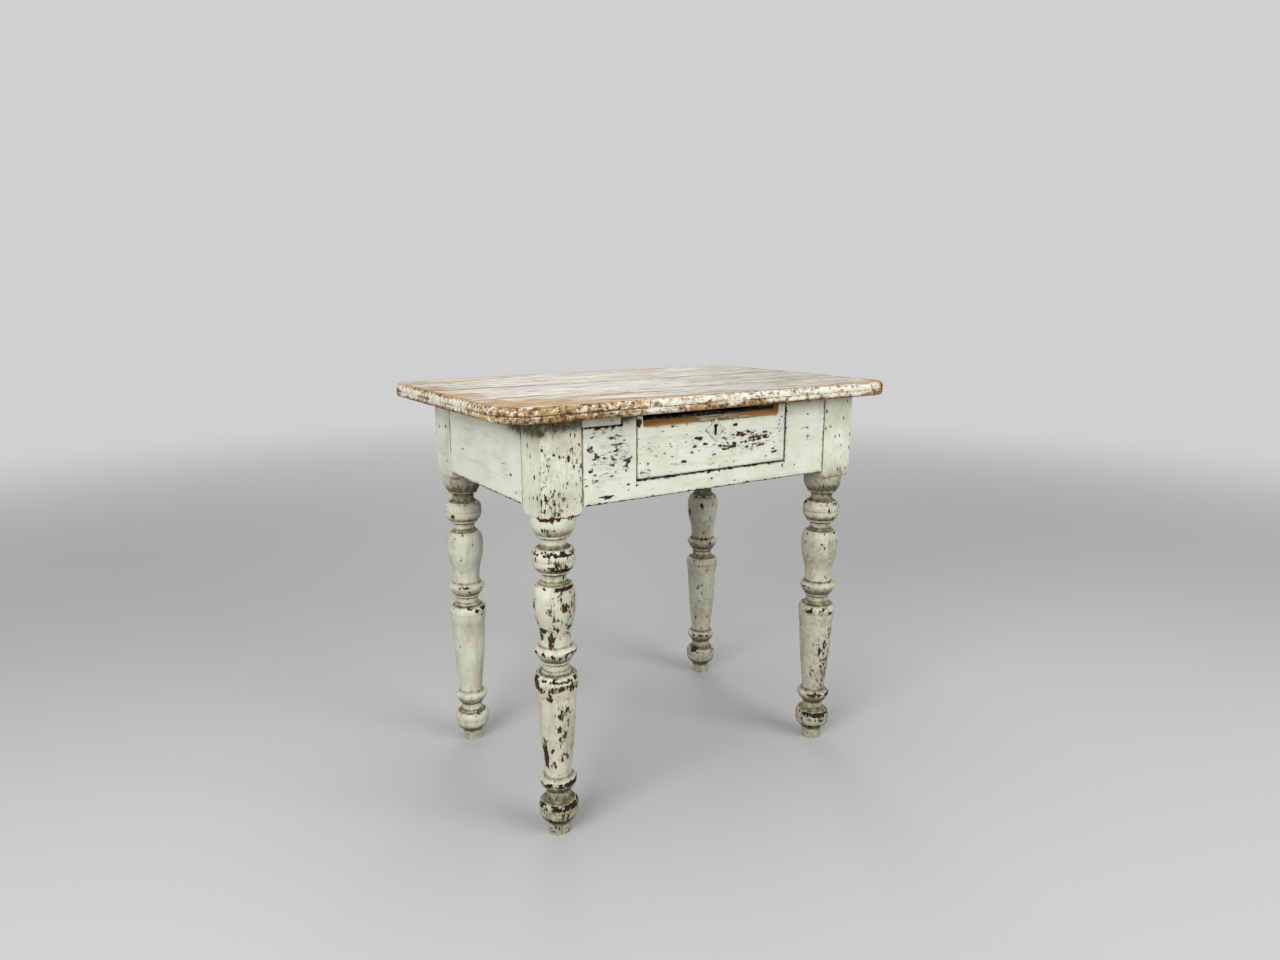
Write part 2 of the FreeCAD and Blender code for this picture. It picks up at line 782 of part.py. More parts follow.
def make_lock():
    half = lock_plate_width / 2
    plate = box(-half, half, front_inner_y, plate_back_y, lock_top - lock_plate_height, lock_top)
    plate = plate.cut(keyhole(front_inner_y - overrun, plate_back_y + overrun))
    for place in lock_screw_places():
        plate = plate.cut(lock_screw(place, screw_clearance))
    save("lock_plate", plate)
    save("lock_screws", Part.makeCompound([lock_screw(place, 0) for place in lock_screw_places()]))

    half = lock_case_width / 2
    wall = lock_case_wall
    low = lock_top - lock_case_height
    case = box(-half, half, plate_back_y, case_back_y, low, lock_top)
    case = case.cut(box(-half + wall, half - wall, plate_back_y - overrun, case_cavity_y,
                        low + wall, lock_top - wall))
    slot = bolt_half + bolt_clearance
    case = case.cut(box(-slot, slot, plate_back_y - overrun, bolt_back_y + bolt_clearance,
                        lock_top - wall - overrun, lock_top + overrun))
    save("lock_case", case)

    head = box(-bolt_half, bolt_half, bolt_front_y, bolt_back_y, bolt_head_low, lock_top)
    leg = box(bolt_leg_inner, bolt_half, bolt_front_y, bolt_back_y, bolt_low, bolt_head_low)
    bolt = head.fuse(leg).removeSplitter()
    guide = box(post_x - slot_radius, post_x + slot_radius, bolt_front_y - overrun, bolt_back_y + overrun,
                slot_low + slot_radius, post_z)
    for z in (slot_low + slot_radius, post_z):
        guide = guide.fuse(rod(slot_radius, bolt_thickness + 2 * overrun,
                               Vector(post_x, bolt_front_y - overrun, z), ALONG_Y))
    save("lock_bolt", bolt.cut(guide))
    save("lock_post", rod(post_radius, case_cavity_y - plate_back_y,
                          Vector(post_x, plate_back_y, post_z), ALONG_Y))


os.makedirs("parts", exist_ok=True)
make_top()
make_legs()
make_pegs()
make_aprons()
make_drawer_frame()
make_glue_blocks()
make_drawer_sides()
make_drawer_back()
make_drawer_bottom()
make_drawer_front()
make_escutcheon()
make_lock()
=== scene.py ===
import math

import bmesh
import bpy
from mathutils import Matrix, Vector, noise


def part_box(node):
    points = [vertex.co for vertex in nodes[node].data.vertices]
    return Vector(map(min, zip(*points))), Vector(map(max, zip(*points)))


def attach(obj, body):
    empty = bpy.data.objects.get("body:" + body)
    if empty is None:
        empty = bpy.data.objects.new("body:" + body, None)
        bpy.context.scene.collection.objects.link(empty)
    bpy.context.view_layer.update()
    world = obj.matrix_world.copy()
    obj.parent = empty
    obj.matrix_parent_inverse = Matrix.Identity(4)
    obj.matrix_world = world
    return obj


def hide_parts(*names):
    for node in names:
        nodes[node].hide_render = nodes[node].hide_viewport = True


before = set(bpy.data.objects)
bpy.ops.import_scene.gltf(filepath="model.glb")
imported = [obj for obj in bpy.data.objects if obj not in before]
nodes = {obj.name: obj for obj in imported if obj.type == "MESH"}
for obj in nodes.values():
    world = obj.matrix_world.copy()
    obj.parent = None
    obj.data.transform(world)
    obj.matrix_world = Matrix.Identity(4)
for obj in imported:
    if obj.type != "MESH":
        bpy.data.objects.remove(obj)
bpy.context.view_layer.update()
mm = 0.001  # meshes are shaped in millimetres and scaled to metres at the end
noiseSeed = 1  # without one, vector noise differs from run to run
noise.seed_set(noiseSeed)
print("frame loaded:", len(nodes), "nodes")


# small helpers for meshes

def nodeBox(node):
    low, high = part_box(node)
    return low / mm, high / mm


frameReach = nodeBox("tenon_pegs")[1]  # outer faces of the leg heads, where the peg ends show
markNames = ("wear", "edge", "grimeAndShade", "bare")  # vertex marks that the materials read; the third holds dirt together with painted shade
edgeFade = 0.55  # share of an edge mark that the next vertex takes
# ragged outlines of worn spots, and how far one on a flat face reaches in
spotLook = {"wide": 9, "wideShift": 2.2, "fine": 4, "fineShift": 1.3, "reach": 1.3, "fade": 0.7, "deep": 9}


def ease(value):
    t = min(max(value, 0.0), 1.0)
    return t * t * (3 - 2 * t)


def grainNoise(co, size, seed=0.0):
    return noise.noise(Vector((co.x / size + seed, co.y / size - seed, co.z / size + 2 * seed)))


def spotWear(co, spots, look=spotLook):
    # strongest of several soft ellipsoids with ragged outlines: centre, radii, amount
    at = co + noise.noise_vector(co / look["wide"]) * look["wideShift"]
    at += noise.noise_vector(co / look["fine"]) * look["fineShift"]
    worn = 0.0
    for (x, y, z), (rx, ry, rz), amount in spots:
        far = math.sqrt(((at.x - x) / rx) ** 2 + ((at.y - y) / ry) ** 2 + ((at.z - z) / rz) ** 2)
        if far < look["reach"]:
            worn = max(worn, amount * ease((look["reach"] - far) / look["fade"]))
    return worn


def faceSpots(spots, face, alongX=True):
    # from place along the face, height, half width, half height, amount
    deep = spotLook["deep"]
    if alongX:
        return [((at, face, z), (wide, deep, tall), amount) for at, z, wide, tall, amount in spots]
    return [((face, at, z), (deep, wide, tall), amount) for at, z, wide, tall, amount in spots]


def spread(breaks, cell):
    # positions that keep every break and fill between them about a cell apart
    places = [breaks[0]]
    for low, high in zip(breaks[:-1], breaks[1:]):
        count = max(1, round((high - low) / cell))
        places += [low + (high - low) * k / count for k in range(1, count + 1)]
    return places


def startMesh():
    bm = bmesh.new()
    for name in markNames:
        bm.verts.layers.float.new(name)
    return [bm] + [bm.verts.layers.float[name] for name in markNames]


def gridSheet(bm, across, up):
    # flat sheet in XZ whose lines stand at the given places
    bmesh.ops.create_grid(bm, x_segments=len(across) - 1, y_segments=len(up) - 1, size=1)
    for v in bm.verts:
        i = round((v.co.x + 1) / 2 * (len(across) - 1))
        j = round((v.co.y + 1) / 2 * (len(up) - 1))
        v.co = (across[i], 0, up[j])


def newVerts(grown):
    return [g for g in grown["geom"] if isinstance(g, bmesh.types.BMVert)]


def thicken(bm, faces, vec):
    grown = bmesh.ops.extrude_face_region(bm, geom=faces)
    bmesh.ops.translate(bm, verts=newVerts(grown), vec=vec)


def easeArrises(bm, edges, offset):
    return bmesh.ops.bevel(bm, geom=edges, offset=offset, offset_type="OFFSET", segments=2, profile=0.5,
                           affect="EDGES", material=-1, clamp_overlap=False)["verts"]


def spreadEdge(bm, edge, rounds):
    # lets the edge mark fade into the faces beside it
    for _ in range(rounds):
        faded = {}
        for v in bm.verts:
            faded[v] = max([v[edge]] + [e.other_vert(v)[edge] * edgeFade for e in v.link_edges])
        for v, value in faded.items():
            v[edge] = value


def sharpEdges(bm, angle=50):
    bmesh.ops.recalc_face_normals(bm, faces=bm.faces)
    bm.normal_update()
    limit = math.radians(angle)
    return [e for e in bm.edges if len(e.link_faces) == 2 and e.calc_face_angle() > limit]


def toMesh(bm, name):
    mesh = bpy.data.meshes.new(name)
    bm.to_mesh(mesh)
    bm.free()
    return mesh


def addObject(name, data):
    made = bpy.data.objects.new(name, data)
    bpy.context.scene.collection.objects.link(made)
    return made


def endMesh(bm, look, material, body="table", sharp=40):
    bmesh.ops.remove_doubles(bm, verts=bm.verts, dist=0.005)
    bmesh.ops.recalc_face_normals(bm, faces=bm.faces)
    bmesh.ops.scale(bm, verts=bm.verts, vec=(mm, mm, mm))
    mesh = toMesh(bm, look["name"])
    mesh.materials.append(material)
    mesh.shade_smooth()
    mesh.set_sharp_from_angle(angle=math.radians(sharp))
    piece = addObject(look["name"], mesh)
    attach(piece, body)
    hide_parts(look["node"])
    print("piece", look["name"], len(mesh.polygons), "faces")


# small helpers for shader nodes; the tree is the one that the sockets belong to

def put(tree, kind, wires=None, **settings):
    node = tree.nodes.new(kind)
    for key, value in settings.items():
        setattr(node, key, value)
    for socket, value in (wires or {}).items():
        if isinstance(value, bpy.types.NodeSocket):
            tree.links.new(value, node.inputs[socket])
        else:
            node.inputs[socket].default_value = value
    return node


def clearTree(owner):
    owner.use_nodes = True
    owner.node_tree.nodes.clear()
    return owner.node_tree


def treeOf(*values):
    return next(v.id_data for v in values if isinstance(v, bpy.types.NodeSocket))


def join(value, socket):
    value.id_data.links.new(value, socket)


def calc(operation, *values):
    return put(treeOf(*values), "ShaderNodeMath", dict(enumerate(values)), operation=operation).outputs[0]


def add(base, value, share=1.0):
    return calc("MULTIPLY_ADD", value, share, base)


def times(a, b):
    return calc("MULTIPLY", a, b)


def minus(a, b):
    return calc("SUBTRACT", a, b)


def fade(value, low, high):
    wires = {"Value": value, "From Min": low, "From Max": high}
    return put(value.id_data, "ShaderNodeMapRange", wires, interpolation_type="SMOOTHSTEP").outputs[0]


def cover(under, over, mask, share=1.0, way="MIX"):
    # colour under, hidden by colour over where the mask is 1
    tree = treeOf(under, over, mask)
    if share != 1.0:
        mask = times(mask, share)
    wires = {0: mask, 6: under, 7: over}
    return put(tree, "ShaderNodeMix", wires, data_type="RGBA", blend_type=way).outputs[2]


def cloud(vector, scale, detail=3.0, rough=0.55):
    wires = {"Vector": vector, "Scale": scale, "Detail": detail, "Roughness": rough}
    return put(vector.id_data, "ShaderNodeTexNoise", wires).outputs[0]


def stretch(vector, x, y, z):
    wires = {0: vector, 1: (x, y, z)}
    return put(vector.id_data, "ShaderNodeVectorMath", wires, operation="MULTIPLY").outputs[0]


def fibres(vector, along, across, detail=3.0, rough=0.55):
    # noise drawn out along X
    return cloud(stretch(vector, along, across, across), 1.0, detail, rough)


def mark(tree, name):
    return put(tree, "ShaderNodeAttribute", attribute_name=name).outputs["Fac"]


def startGroup(name, inputs, outputs):
    # an input with no default is a vector, one with several numbers a colour
    group = bpy.data.node_groups.new(name, "ShaderNodeTree")
    for label, value in inputs.items():
        kind = "Vector" if value is None else "Color" if isinstance(value, tuple) else "Float"
        socket = group.interface.new_socket(name=label, in_out="INPUT", socket_type="NodeSocket" + kind)
        if value is not None:
            socket.default_value = value
    for label in outputs:
        kind = "Color" if label == "Color" else "Float"
        group.interface.new_socket(name=label, in_out="OUTPUT", socket_type="NodeSocket" + kind)
    return group, group.nodes.new("NodeGroupInput").outputs, group.nodes.new("NodeGroupOutput").inputs


def placeGroup(tree, group, **wires):
    return put(tree, "ShaderNodeGroup", wires, node_tree=group).outputs


def pineGrainGroup():
    # growth rings and fibres that run along X
    inputs = {"Vector": None, "Early": (0.5, 0.28, 0.11, 1), "Late": (0.2, 0.075, 0.02, 1), "Rings": 120.0}
    group, given, out = startGroup("pineGrain", inputs, ["Color", "Height"])
    vector = given["Vector"]
    warp = times(fibres(vector, 2.4, 9, 2.0), 0.05)
    shift = put(group, "ShaderNodeCombineXYZ", {1: warp}).outputs[0]
    bent = put(group, "ShaderNodeVectorMath", {0: vector, 1: shift}, operation="ADD").outputs[0]
    wires = {"Vector": stretch(bent, 0.05, 1, 1), "Scale": given["Rings"],
             "Distortion": 2.0, "Detail": 2.0, "Detail Scale": 0.6}
    rings = put(group, "ShaderNodeTexWave", wires, bands_direction="Y", wave_profile="SAW").outputs[1]
    late = calc("POWER", rings, 2.6)
    fibre = fibres(vector, 9, 420, 3.0, 0.6)
    wood = cover(given["Early"], given["Late"], late, 0.75)
    wood = cover(wood, given["Late"], fade(fibre, 0.42, 0.75))
    wires = {"Value": fibres(vector, 3, 26), "From Min": 0.25, "From Max": 0.75,
             "To Min": 0.72, "To Max": 1.25}
    tone = put(group, "ShaderNodeMapRange", wires).outputs[0]
    join(cover(wood, tone, 1.0, way="MULTIPLY"), out["Color"])
    join(add(times(late, 0.6), fibre, -0.7), out["Height"])
    return group


def paintChipsGroup():
    # where old paint has let go: ragged flakes, worn edges and small specks, drawn out along X
    inputs = {"Vector": None, "Wear": 0.0, "Edge": 0.0, "Specks": 0.01, "Scale": 260.0}
    group, given, out = startGroup("paintChips", inputs, ["Chip", "Rim", "Red"])
    vector, wear, scale = given["Vector"], given["Wear"], given["Scale"]
    long = stretch(vector, 0.45, 1, 1)
    # fine noise shakes the pattern so that no flake has a smooth outline
    wires = {"Vector": long, "Scale": times(scale, 3.2), "Detail": 2.0}
    shake = put(group, "ShaderNodeTexNoise", wires).outputs[1]
    wires = {0: shake, 1: (0.004, 0.004, 0.004), 2: long}
    shaken = put(group, "ShaderNodeVectorMath", wires, operation="MULTIPLY_ADD").outputs[0]
    wires = {"Vector": shaken, "Scale": times(scale, 0.6)}
    cells = put(group, "ShaderNodeTexVoronoi", wires, distance="MANHATTAN").outputs
    score = add(cloud(shaken, scale, 5.0, 0.68), minus(0.45, cells["Distance"]), 0.22)
    # how ready the paint is to come away
    patch = minus(cloud(vector, times(scale, 0.08), 2.0), 0.5)
    broken = cloud(vector, times(scale, 0.36))
    ready = add(times(patch, 0.45), wear, 0.8)
    ready = add(ready, times(given["Edge"], fade(broken, 0.34, 0.62)), 1.25)
    score = add(score, ready, 0.45)
    flakes = fade(score, 0.865, 0.885)
    wires = {"Vector": shaken, "Scale": times(scale, 0.52)}
    dots = put(group, "ShaderNodeTexVoronoi", wires, distance="MANHATTAN").outputs
    chance = put(group, "ShaderNodeSeparateColor", {0: dots["Color"]}).outputs
    odds = add(given["Specks"], calc("MAXIMUM", ready, 0.0), 0.2)
    picked = fade(minus(odds, chance[0]), 0.0, 0.004)
    size = add(0.16, chance[1], 0.30)
    specks = times(picked, fade(minus(size, dots["Distance"]), 0.0, 0.06))
    join(calc("MAXIMUM", flakes, specks), out["Chip"])
    join(fade(score, 0.80, 0.875), out["Rim"])
    # red brown undercoat in the large losses, black in the deepest
    red = fade(add(times(wear, 0.62), patch, 1.1), 0.62, 0.92)
    join(times(red, minus(1.0, fade(wear, 2.0, 2.5))), out["Red"])
    return group


def paintFilmGroup():
    # aged film of paint: brush lines, faded patches, hairline cracks, dirt, and painted shade where the
    # mark of grime and shade is high
    inputs = {"Vector": None, "Paint": (0.7, 0.73, 0.61, 1), "Faded": (0.6, 0.62, 0.5, 1),
              "Dirt": (0.1, 0.075, 0.04, 1), "Stain": (0.25, 0.22, 0.12, 1), "SoilAndShade": (0.25, 0.23, 0.125, 1),
              "Grime": 0.0, "Cracks": 0.5}
    group, given, out = startGroup("paintFilm", inputs, ["Color", "Height", "Dirt"])
    vector, faded, grimeAndShade = given["Vector"], given["Faded"], given["Grime"]
    brush = fibres(vector, 16, 300, 3.0, 0.6)
    paint = cover(given["Paint"], faded, fade(cloud(vector, 16.0, 5.0, 0.62), 0.38, 0.72))
    paint = cover(paint, faded, fade(brush, 0.50, 0.78), 0.5)
    paint = cover(paint, faded, fade(cloud(vector, 52.0, 5.0, 0.66), 0.48, 0.70), 0.45)
    # painted shade and soil: the film darkens where the mark of grime and shade is high
    paint = cover(paint, given["SoilAndShade"], grimeAndShade, 0.8)
    streak = fade(fibres(vector, 10, 64, 4.0, 0.6), 0.50, 0.72)
    paint = cover(paint, given["Stain"], times(streak, add(0.16, grimeAndShade, 1.1)))
    # hairlines follow the grain below
    thin = calc("ABSOLUTE", minus(fibres(vector, 26, 560, 2.0, 0.5), 0.5))
    where = add(cloud(vector, 24.0), given["Cracks"], 0.3)
    crack = times(minus(1.0, fade(thin, 0.002, 0.020)), fade(where, 0.62, 0.80))
    paint = cover(paint, given["Dirt"], crack, 0.6)
    # dark spots of dirt, and painted shade, where the mark of grime and shade is high
    spots = add(-0.55, cloud(vector, 110.0, 5.0, 0.68), 1.1)
    dirtAndShade = fade(add(spots, grimeAndShade, 0.6), 0.22, 0.75)
    join(cover(paint, given["Dirt"], dirtAndShade, 0.92), out["Color"])
    join(add(times(brush, 0.25), crack, -0.5), out["Height"])
    join(dirtAndShade, out["Dirt"])
    return group


pineGrain = pineGrainGroup()
paintChips = paintChipsGroup()
paintFilm = paintFilmGroup()
print("node groups ready")


# materials

grainTurns = {"x": (0, 0, 0), "y": (0, 0, -90), "z": (0, 90, 0)}


def startMaterial(name, grain="x", shift=(0, 0, 0)):
    # object coordinates, turned so that the grain runs along X
    material = bpy.data.materials.new(name)
    tree = clearTree(material)
    shader = put(tree, "ShaderNodeBsdfPrincipled")
    put(tree, "ShaderNodeOutputMaterial", {"Surface": shader.outputs[0]})
    coords = put(tree, "ShaderNodeTexCoord").outputs["Object"]
    wires = {"Vector": coords, "Location": shift, "Rotation": [math.radians(a) for a in grainTurns[grain]]}
    return material, tree, shader, put(tree, "ShaderNodeMapping", wires).outputs[0]


def grainOf(tree, vector, look):
    return placeGroup(tree, pineGrain, Vector=vector, Early=look["early"], Late=look["late"],
                      Rings=look["rings"])


def wireShader(shader, color, rough, height, strength, distance):
    wires = {"Strength": strength, "Distance": distance, "Height": height}
    bump = put(treeOf(color), "ShaderNodeBump", wires).outputs[0]
    for socket, value in (("Base Color", color), ("Roughness", rough), ("Normal", bump)):
        join(value, shader.inputs[socket])


paintLook = {
    "dirtAndShade": (0.050, 0.034, 0.014, 1),
    "blackened": (0.011, 0.006, 0.003, 1),
    "redBrown": (0.047, 0.016, 0.008, 1),
    "early": (0.55, 0.31, 0.11, 1),
    "late": (0.22, 0.085, 0.024, 1),
    "rings": 120.0,
    "gloss": 0.26,
}


def paintedWood(name, finish, look=paintLook):
    material, tree, shader, vector = startMaterial(name, finish["grain"])
    wear = mark(tree, "wear")
    chips = placeGroup(tree, paintChips, Vector=vector, Wear=wear, Edge=mark(tree, "edge"),
                       Specks=finish["specks"], Scale=finish["scale"])
    film = placeGroup(tree, paintFilm, Vector=vector, Paint=finish["paint"], Faded=finish["faded"],
                      Dirt=look["dirtAndShade"], Grime=mark(tree, "grimeAndShade"), Cracks=wear)
    wood = grainOf(tree, vector, look)
    color = cover(film["Color"], cover(look["blackened"], look["redBrown"], chips["Red"]), chips["Chip"])
    # bare zones keep ragged scraps of paint
    scraps = fibres(vector, 25, 150, 4.0, 0.65)
    worn = fade(add(times(scraps, 0.6), mark(tree, "bare"), 0.75), 0.66, 0.72)
    gone = calc("MAXIMUM", chips["Chip"], worn)
    height = add(minus(1.0, gone), film["Height"], 0.35)
    height = add(height, times(wood["Height"], gone), 0.5)
    height = add(height, chips["Rim"], 0.12)
    rough = add(add(0.5, film["Dirt"], 0.15), gone, 0.34)
    shader.inputs["Specular IOR Level"].default_value = look["gloss"]
    wireShader(shader, cover(color, wood["Color"], worn), rough, height, 0.55, 0.0006)
    return material


topLook = {
    "wash": (0.555, 0.545, 0.475, 1),
    "greyWash": (0.32, 0.30, 0.24, 1),
    "thinWash": (0.40, 0.305, 0.18, 1),
    "early": (0.52, 0.335, 0.14, 1),
    "late": (0.25, 0.12, 0.04, 1),
    "burnt": (0.06, 0.025, 0.010, 1),
    "line": (0.075, 0.052, 0.033, 1),
    "cream": (0.72, 0.70, 0.60, 1),
    "creamShade": (0.47, 0.43, 0.34, 1),
    "dullCream": (0.50, 0.43, 0.31, 1),
    "underside": (0.30, 0.185, 0.09, 1),
    "undersideDark": (0.15, 0.095, 0.05, 1),
    "rings": 105.0,
    "gloss": 0.3,
}


def washedTop(name, shift, look=topLook):
    material, tree, shader, vector = startMaterial(name, "x", shift)
    wear, edge, moulded, below = [mark(tree, label) for label in markNames]
    wood = grainOf(tree, vector, look)
    # flat: a thin wash worn into streaks and dashes with the grain
    broad = fibres(vector, 3, 26)
    streak = fibres(vector, 11, 82, 5.0, 0.66)
    dash = fibres(vector, 24, 190, 4.0, 0.66)
    score = add(times(streak, 0.6), broad, 0.4)
    score = add(score, minus(dash, 0.5), 0.28)
    score = add(score, wear, 0.30)
    score = add(score, edge, 0.08)
    paint = cover(look["wash"], look["greyWash"], fade(streak, 0.45, 0.62))
    paint = cover(paint, look["thinWash"], fade(score, 0.53, 0.64), 0.85)
    stain = fade(fibres(vector, 20, 70, 4.0, 0.62), 0.54, 0.64)
    flatGone = fade(score, 0.61, 0.72)
    flat = cover(paint, cover(wood["Color"], look["burnt"], stain, 0.75), flatGone)
    # thin dark dashes where the grain has opened, and dirt in the joints of the boards
    grainLine = calc("ABSOLUTE", minus(fibres(vector, 7, 88, 3.0, 0.6), 0.5))
    opened = times(minus(1.0, fade(grainLine, 0.010, 0.050)), fade(dash, 0.44, 0.58))
    flat = cover(flat, look["line"], opened, 0.8)
    seam = times(fade(edge, 0.40, 0.75), fade(streak, 0.34, 0.48))
    flat = cover(flat, look["line"], seam, 0.9)
    # moulded edge: cream paint broken into fine flakes and ticks over honey wood with dark blots
    tick = cloud(stretch(vector, 150, 115, 95), 1.0, 5.0, 0.68)
    loss = add(fibres(vector, 100, 165, 5.0, 0.68), wear, 0.30)
    sideGone = fade(add(loss, edge, 0.05), 0.64, 0.69)
    blot = fade(add(tick, wear, 0.07), 0.54, 0.59)
    shade = fade(fibres(vector, 60, 150, 4.0, 0.65), 0.46, 0.70)
    sidePaint = cover(look["cream"], look["creamShade"], shade)
    sidePaint = cover(sidePaint, look["line"], fade(tick, 0.58, 0.62), 0.85)
    sidePaint = cover(sidePaint, look["dullCream"], fade(wear, 0.3, 0.8), 0.55)
    side = cover(sidePaint, cover(wood["Color"], look["burnt"], blot, 0.9), sideGone)
    groove = times(fade(edge, 0.80, 0.95), fade(wear, 0.1, 0.9))
    side = cover(side, look["burnt"], groove, 0.85)
    # underside: bare and darkened with age
    aged = cover(wood["Color"], look["underside"], 0.5)
    aged = cover(aged, look["undersideDark"], fade(broad, 0.45, 0.65), 0.5)
    gone = cover(flatGone, sideGone, moulded)
    height = add(times(gone, -0.8), wood["Height"], 0.6)
    height = add(height, opened, -0.7)
    shader.inputs["Specular IOR Level"].default_value = look["gloss"]
    color = cover(cover(flat, side, moulded), aged, below)
    wireShader(shader, color, add(0.55, gone, 0.1), height, 0.5, 0.0007)
    return material


bareLook = {"early": (0.46, 0.275, 0.125, 1), "late": (0.235, 0.11, 0.042, 1), "rings": 90.0,
            "grey": (0.2, 0.165, 0.125, 1)}


def barePine(name, grain, look=bareLook):
    material, tree, shader, vector = startMaterial(name, grain)
    wood = grainOf(tree, vector, look)
    dust = fade(cloud(vector, 17.0, 5.0, 0.65), 0.45, 0.72)
    saw = fibres(vector, 420, 16, 2.0)
    color = cover(wood["Color"], look["grey"], dust, 0.45)
    wireShader(shader, color, add(0.7, dust, 0.12), add(wood["Height"], saw, 0.4), 0.4, 0.0006)
    return material


ironLook = {"dark": (0.06, 0.052, 0.046, 1), "rust": (0.16, 0.06, 0.022, 1)}


def oldIron(look=ironLook):
    material, tree, shader, vector = startMaterial("oldIron")
    rust = fade(cloud(vector, 160.0, 5.0, 0.7), 0.45, 0.62)
    pits = cloud(vector, 900.0, 3.0, 0.6)
    join(minus(0.9, rust), shader.inputs["Metallic"])
    color = cover(look["dark"], look["rust"], rust)
    wireShader(shader, color, add(0.42, rust, 0.4), pits, 0.4, 0.0003)
    return material


paintFinishes = {
    "legPaint": {"grain": "z", "specks": 0.10, "scale": 250.0,
                 "paint": (0.69, 0.71, 0.59, 1), "faded": (0.50, 0.51, 0.39, 1)},
    "wornLegPaint": {"grain": "z", "specks": 0.22, "scale": 250.0,
                     "paint": (0.69, 0.705, 0.58, 1), "faded": (0.50, 0.505, 0.38, 1)},
    "apronPaint": {"grain": "x", "specks": 0.11, "scale": 260.0,
                   "paint": (0.70, 0.725, 0.61, 1), "faded": (0.60, 0.615, 0.50, 1)},
    "endApronPaint": {"grain": "y", "specks": 0.06, "scale": 260.0,
                      "paint": (0.70, 0.725, 0.615, 1), "faded": (0.61, 0.63, 0.52, 1)},
    "drawerPaint": {"grain": "x", "specks": 0.25, "scale": 270.0,
                    "paint": (0.71, 0.735, 0.615, 1), "faded": (0.61, 0.63, 0.51, 1)},
    "platePaint": {"grain": "z", "specks": 0.03, "scale": 420.0,
                   "paint": (0.68, 0.70, 0.59, 1), "faded": (0.53, 0.55, 0.44, 1)},
}
paints = {name: paintedWood(name, finish) for name, finish in paintFinishes.items()}
print("paints ready")


# legs: a turned profile that grows into a square head

legTurning = {
    "step": 1.9,
    "footRadius": 18.5,
    "members": [  # rise, radius at its top, swell as a share of the chord
        (25, 20.5, 0), (24, 34.5, 0.19), (15.5, 31.5, 0.14), (0, 29.9, 0),  # foot and ball
        (18, 22, -0.2), (2, 22, 0), (17.5, 33.4, 0.05), (3.5, 33.4, 0), (16, 23.2, -0.15),  # lower ring
        (142.5, 34.4, 0.012), (22, 36.8, 0.03), (17.5, 34.4, 0.13), (0, 32.8, 0),  # taper and shoulder
        (18, 23, -0.2), (3, 23, 0), (0, 25.8, 0), (3, 25.8, 0),  # neck and collar
        (18, 36.8, 0.05), (2.5, 36.8, 0), (15, 27, -0.15),  # middle ring
        (34, 31.4, -0.04), (37, 36.6, 0.045), (29, 31, 0.08), (0, 29.4, 0),  # vase
        (16, 21.6, -0.2), (5, 21.6, 0), (0, 28, 0), (3, 28, 0),
        (19, 36.5, 0.14), (0, 35.6, 0), (20, 31, 0.15), (0, 29.4, 0),  # bulb
        (14, 22.2, -0.2), (6, 22.2, 0), (0, 29.3, 0), (3, 29.3, 0), (33, 36.8, 0.12),  # cup
    ],
}

legHead = {"half": 37.5, "arris": 4.0, "top": 744.0, "flats": 20, "turns": 4, "step": 3.0,
           "pommelRadius": 46.0}

legWearAndShade = {"wobble": 0.30, "wobbleSize": 26, "biteSize": 6.5, "fineBite": 0.15, "fineSize": 2.6,
           "arrisWear": 0.3, "scuffTop": 32, "soilAndShadeTop": 650, "dustTop": 330, "dust": 0.06}


def turnedStations(turning):
    stations = [(0.0, turning["footRadius"])]
    for rise, radius, swell in turning["members"]:
        z, r = stations[-1]
        grow = radius - r
        steps = max(1, round(math.hypot(rise, grow) / turning["step"])) if rise else 1
        for k in range(1, steps + 1):
            t = k / steps
            bulge = swell * 4 * t * (1 - t)
            stations.append((z + rise * t - grow * bulge, r + grow * t + rise * bulge))
    return stations


def headRadius(direction, head):
    # from the axis out to the rounded square
    x, y = abs(direction.x), abs(direction.y)
    core = head["half"] - head["arris"]
    flat = head["half"] / max(x, y)
    if flat * min(x, y) <= core:
        return flat
    b = core * (x + y)
    return b + math.sqrt(b * b - 2 * core * core + head["arris"] ** 2)


def headDirections(head):
    core = head["half"] - head["arris"]
    quarter = [Vector((head["half"], -core + 2 * core * k / head["flats"])) for k in range(head["flats"])]
    for k in range(head["turns"]):
        angle = math.radians(90 * k / head["turns"])
        quarter.append(Vector((core, core)) + Vector((math.cos(angle), math.sin(angle))) * head["arris"])
    turns = [Matrix.Rotation(math.radians(90 * side), 2) for side in range(4)]
    return [(turn @ point).normalized() for turn in turns for point in quarter]


def legStations(turned, head):
    # height, radius, rim mark, mark of dirt and painted shade; the radius is None on the square head
    rows = []
    for number, (z, r) in enumerate(turned):
        near = [other for height, other in turned if abs(height - z) < 9]
        close = [other for height, other in turned if abs(height - z) < 3.5]
        proud = r - sum(near) / len(near)
        hollow = sum(close) / len(close) - r
        below, above = turned[max(number - 1, 0)], turned[min(number + 1, len(turned) - 1)]
        under = (above[1] - below[1]) / max(above[0] - below[0], 0.5)  # faces downwards where positive
        # painted shade with dirt: darker in hollows and recesses, and on faces that turn downwards under
        # the rings
        dirtAndShade = 0.8 * ease((hollow - 0.1) / 1.2) + 0.4 * ease((-proud - 0.2) / 2.2)
        dirtAndShade += 0.6 * ease((under - 0.12) / 0.7)
        rows.append((z, r, ease((proud - 0.5) / 1.7), min(dirtAndShade, 1.0)))
    bottom = turned[-1][0]
    rows.append((bottom, None, 1.0, 0.2))
    rows += [(z, None, 0.0, 0.0) for z in spread([bottom, head["top"]], head["step"])[1:]]
    return rows


legTurned = turnedStations(legTurning)
legRows = legStations(legTurned, legHead)
legDirections = headDirections(legHead)
headBottom = legTurned[-1][0]


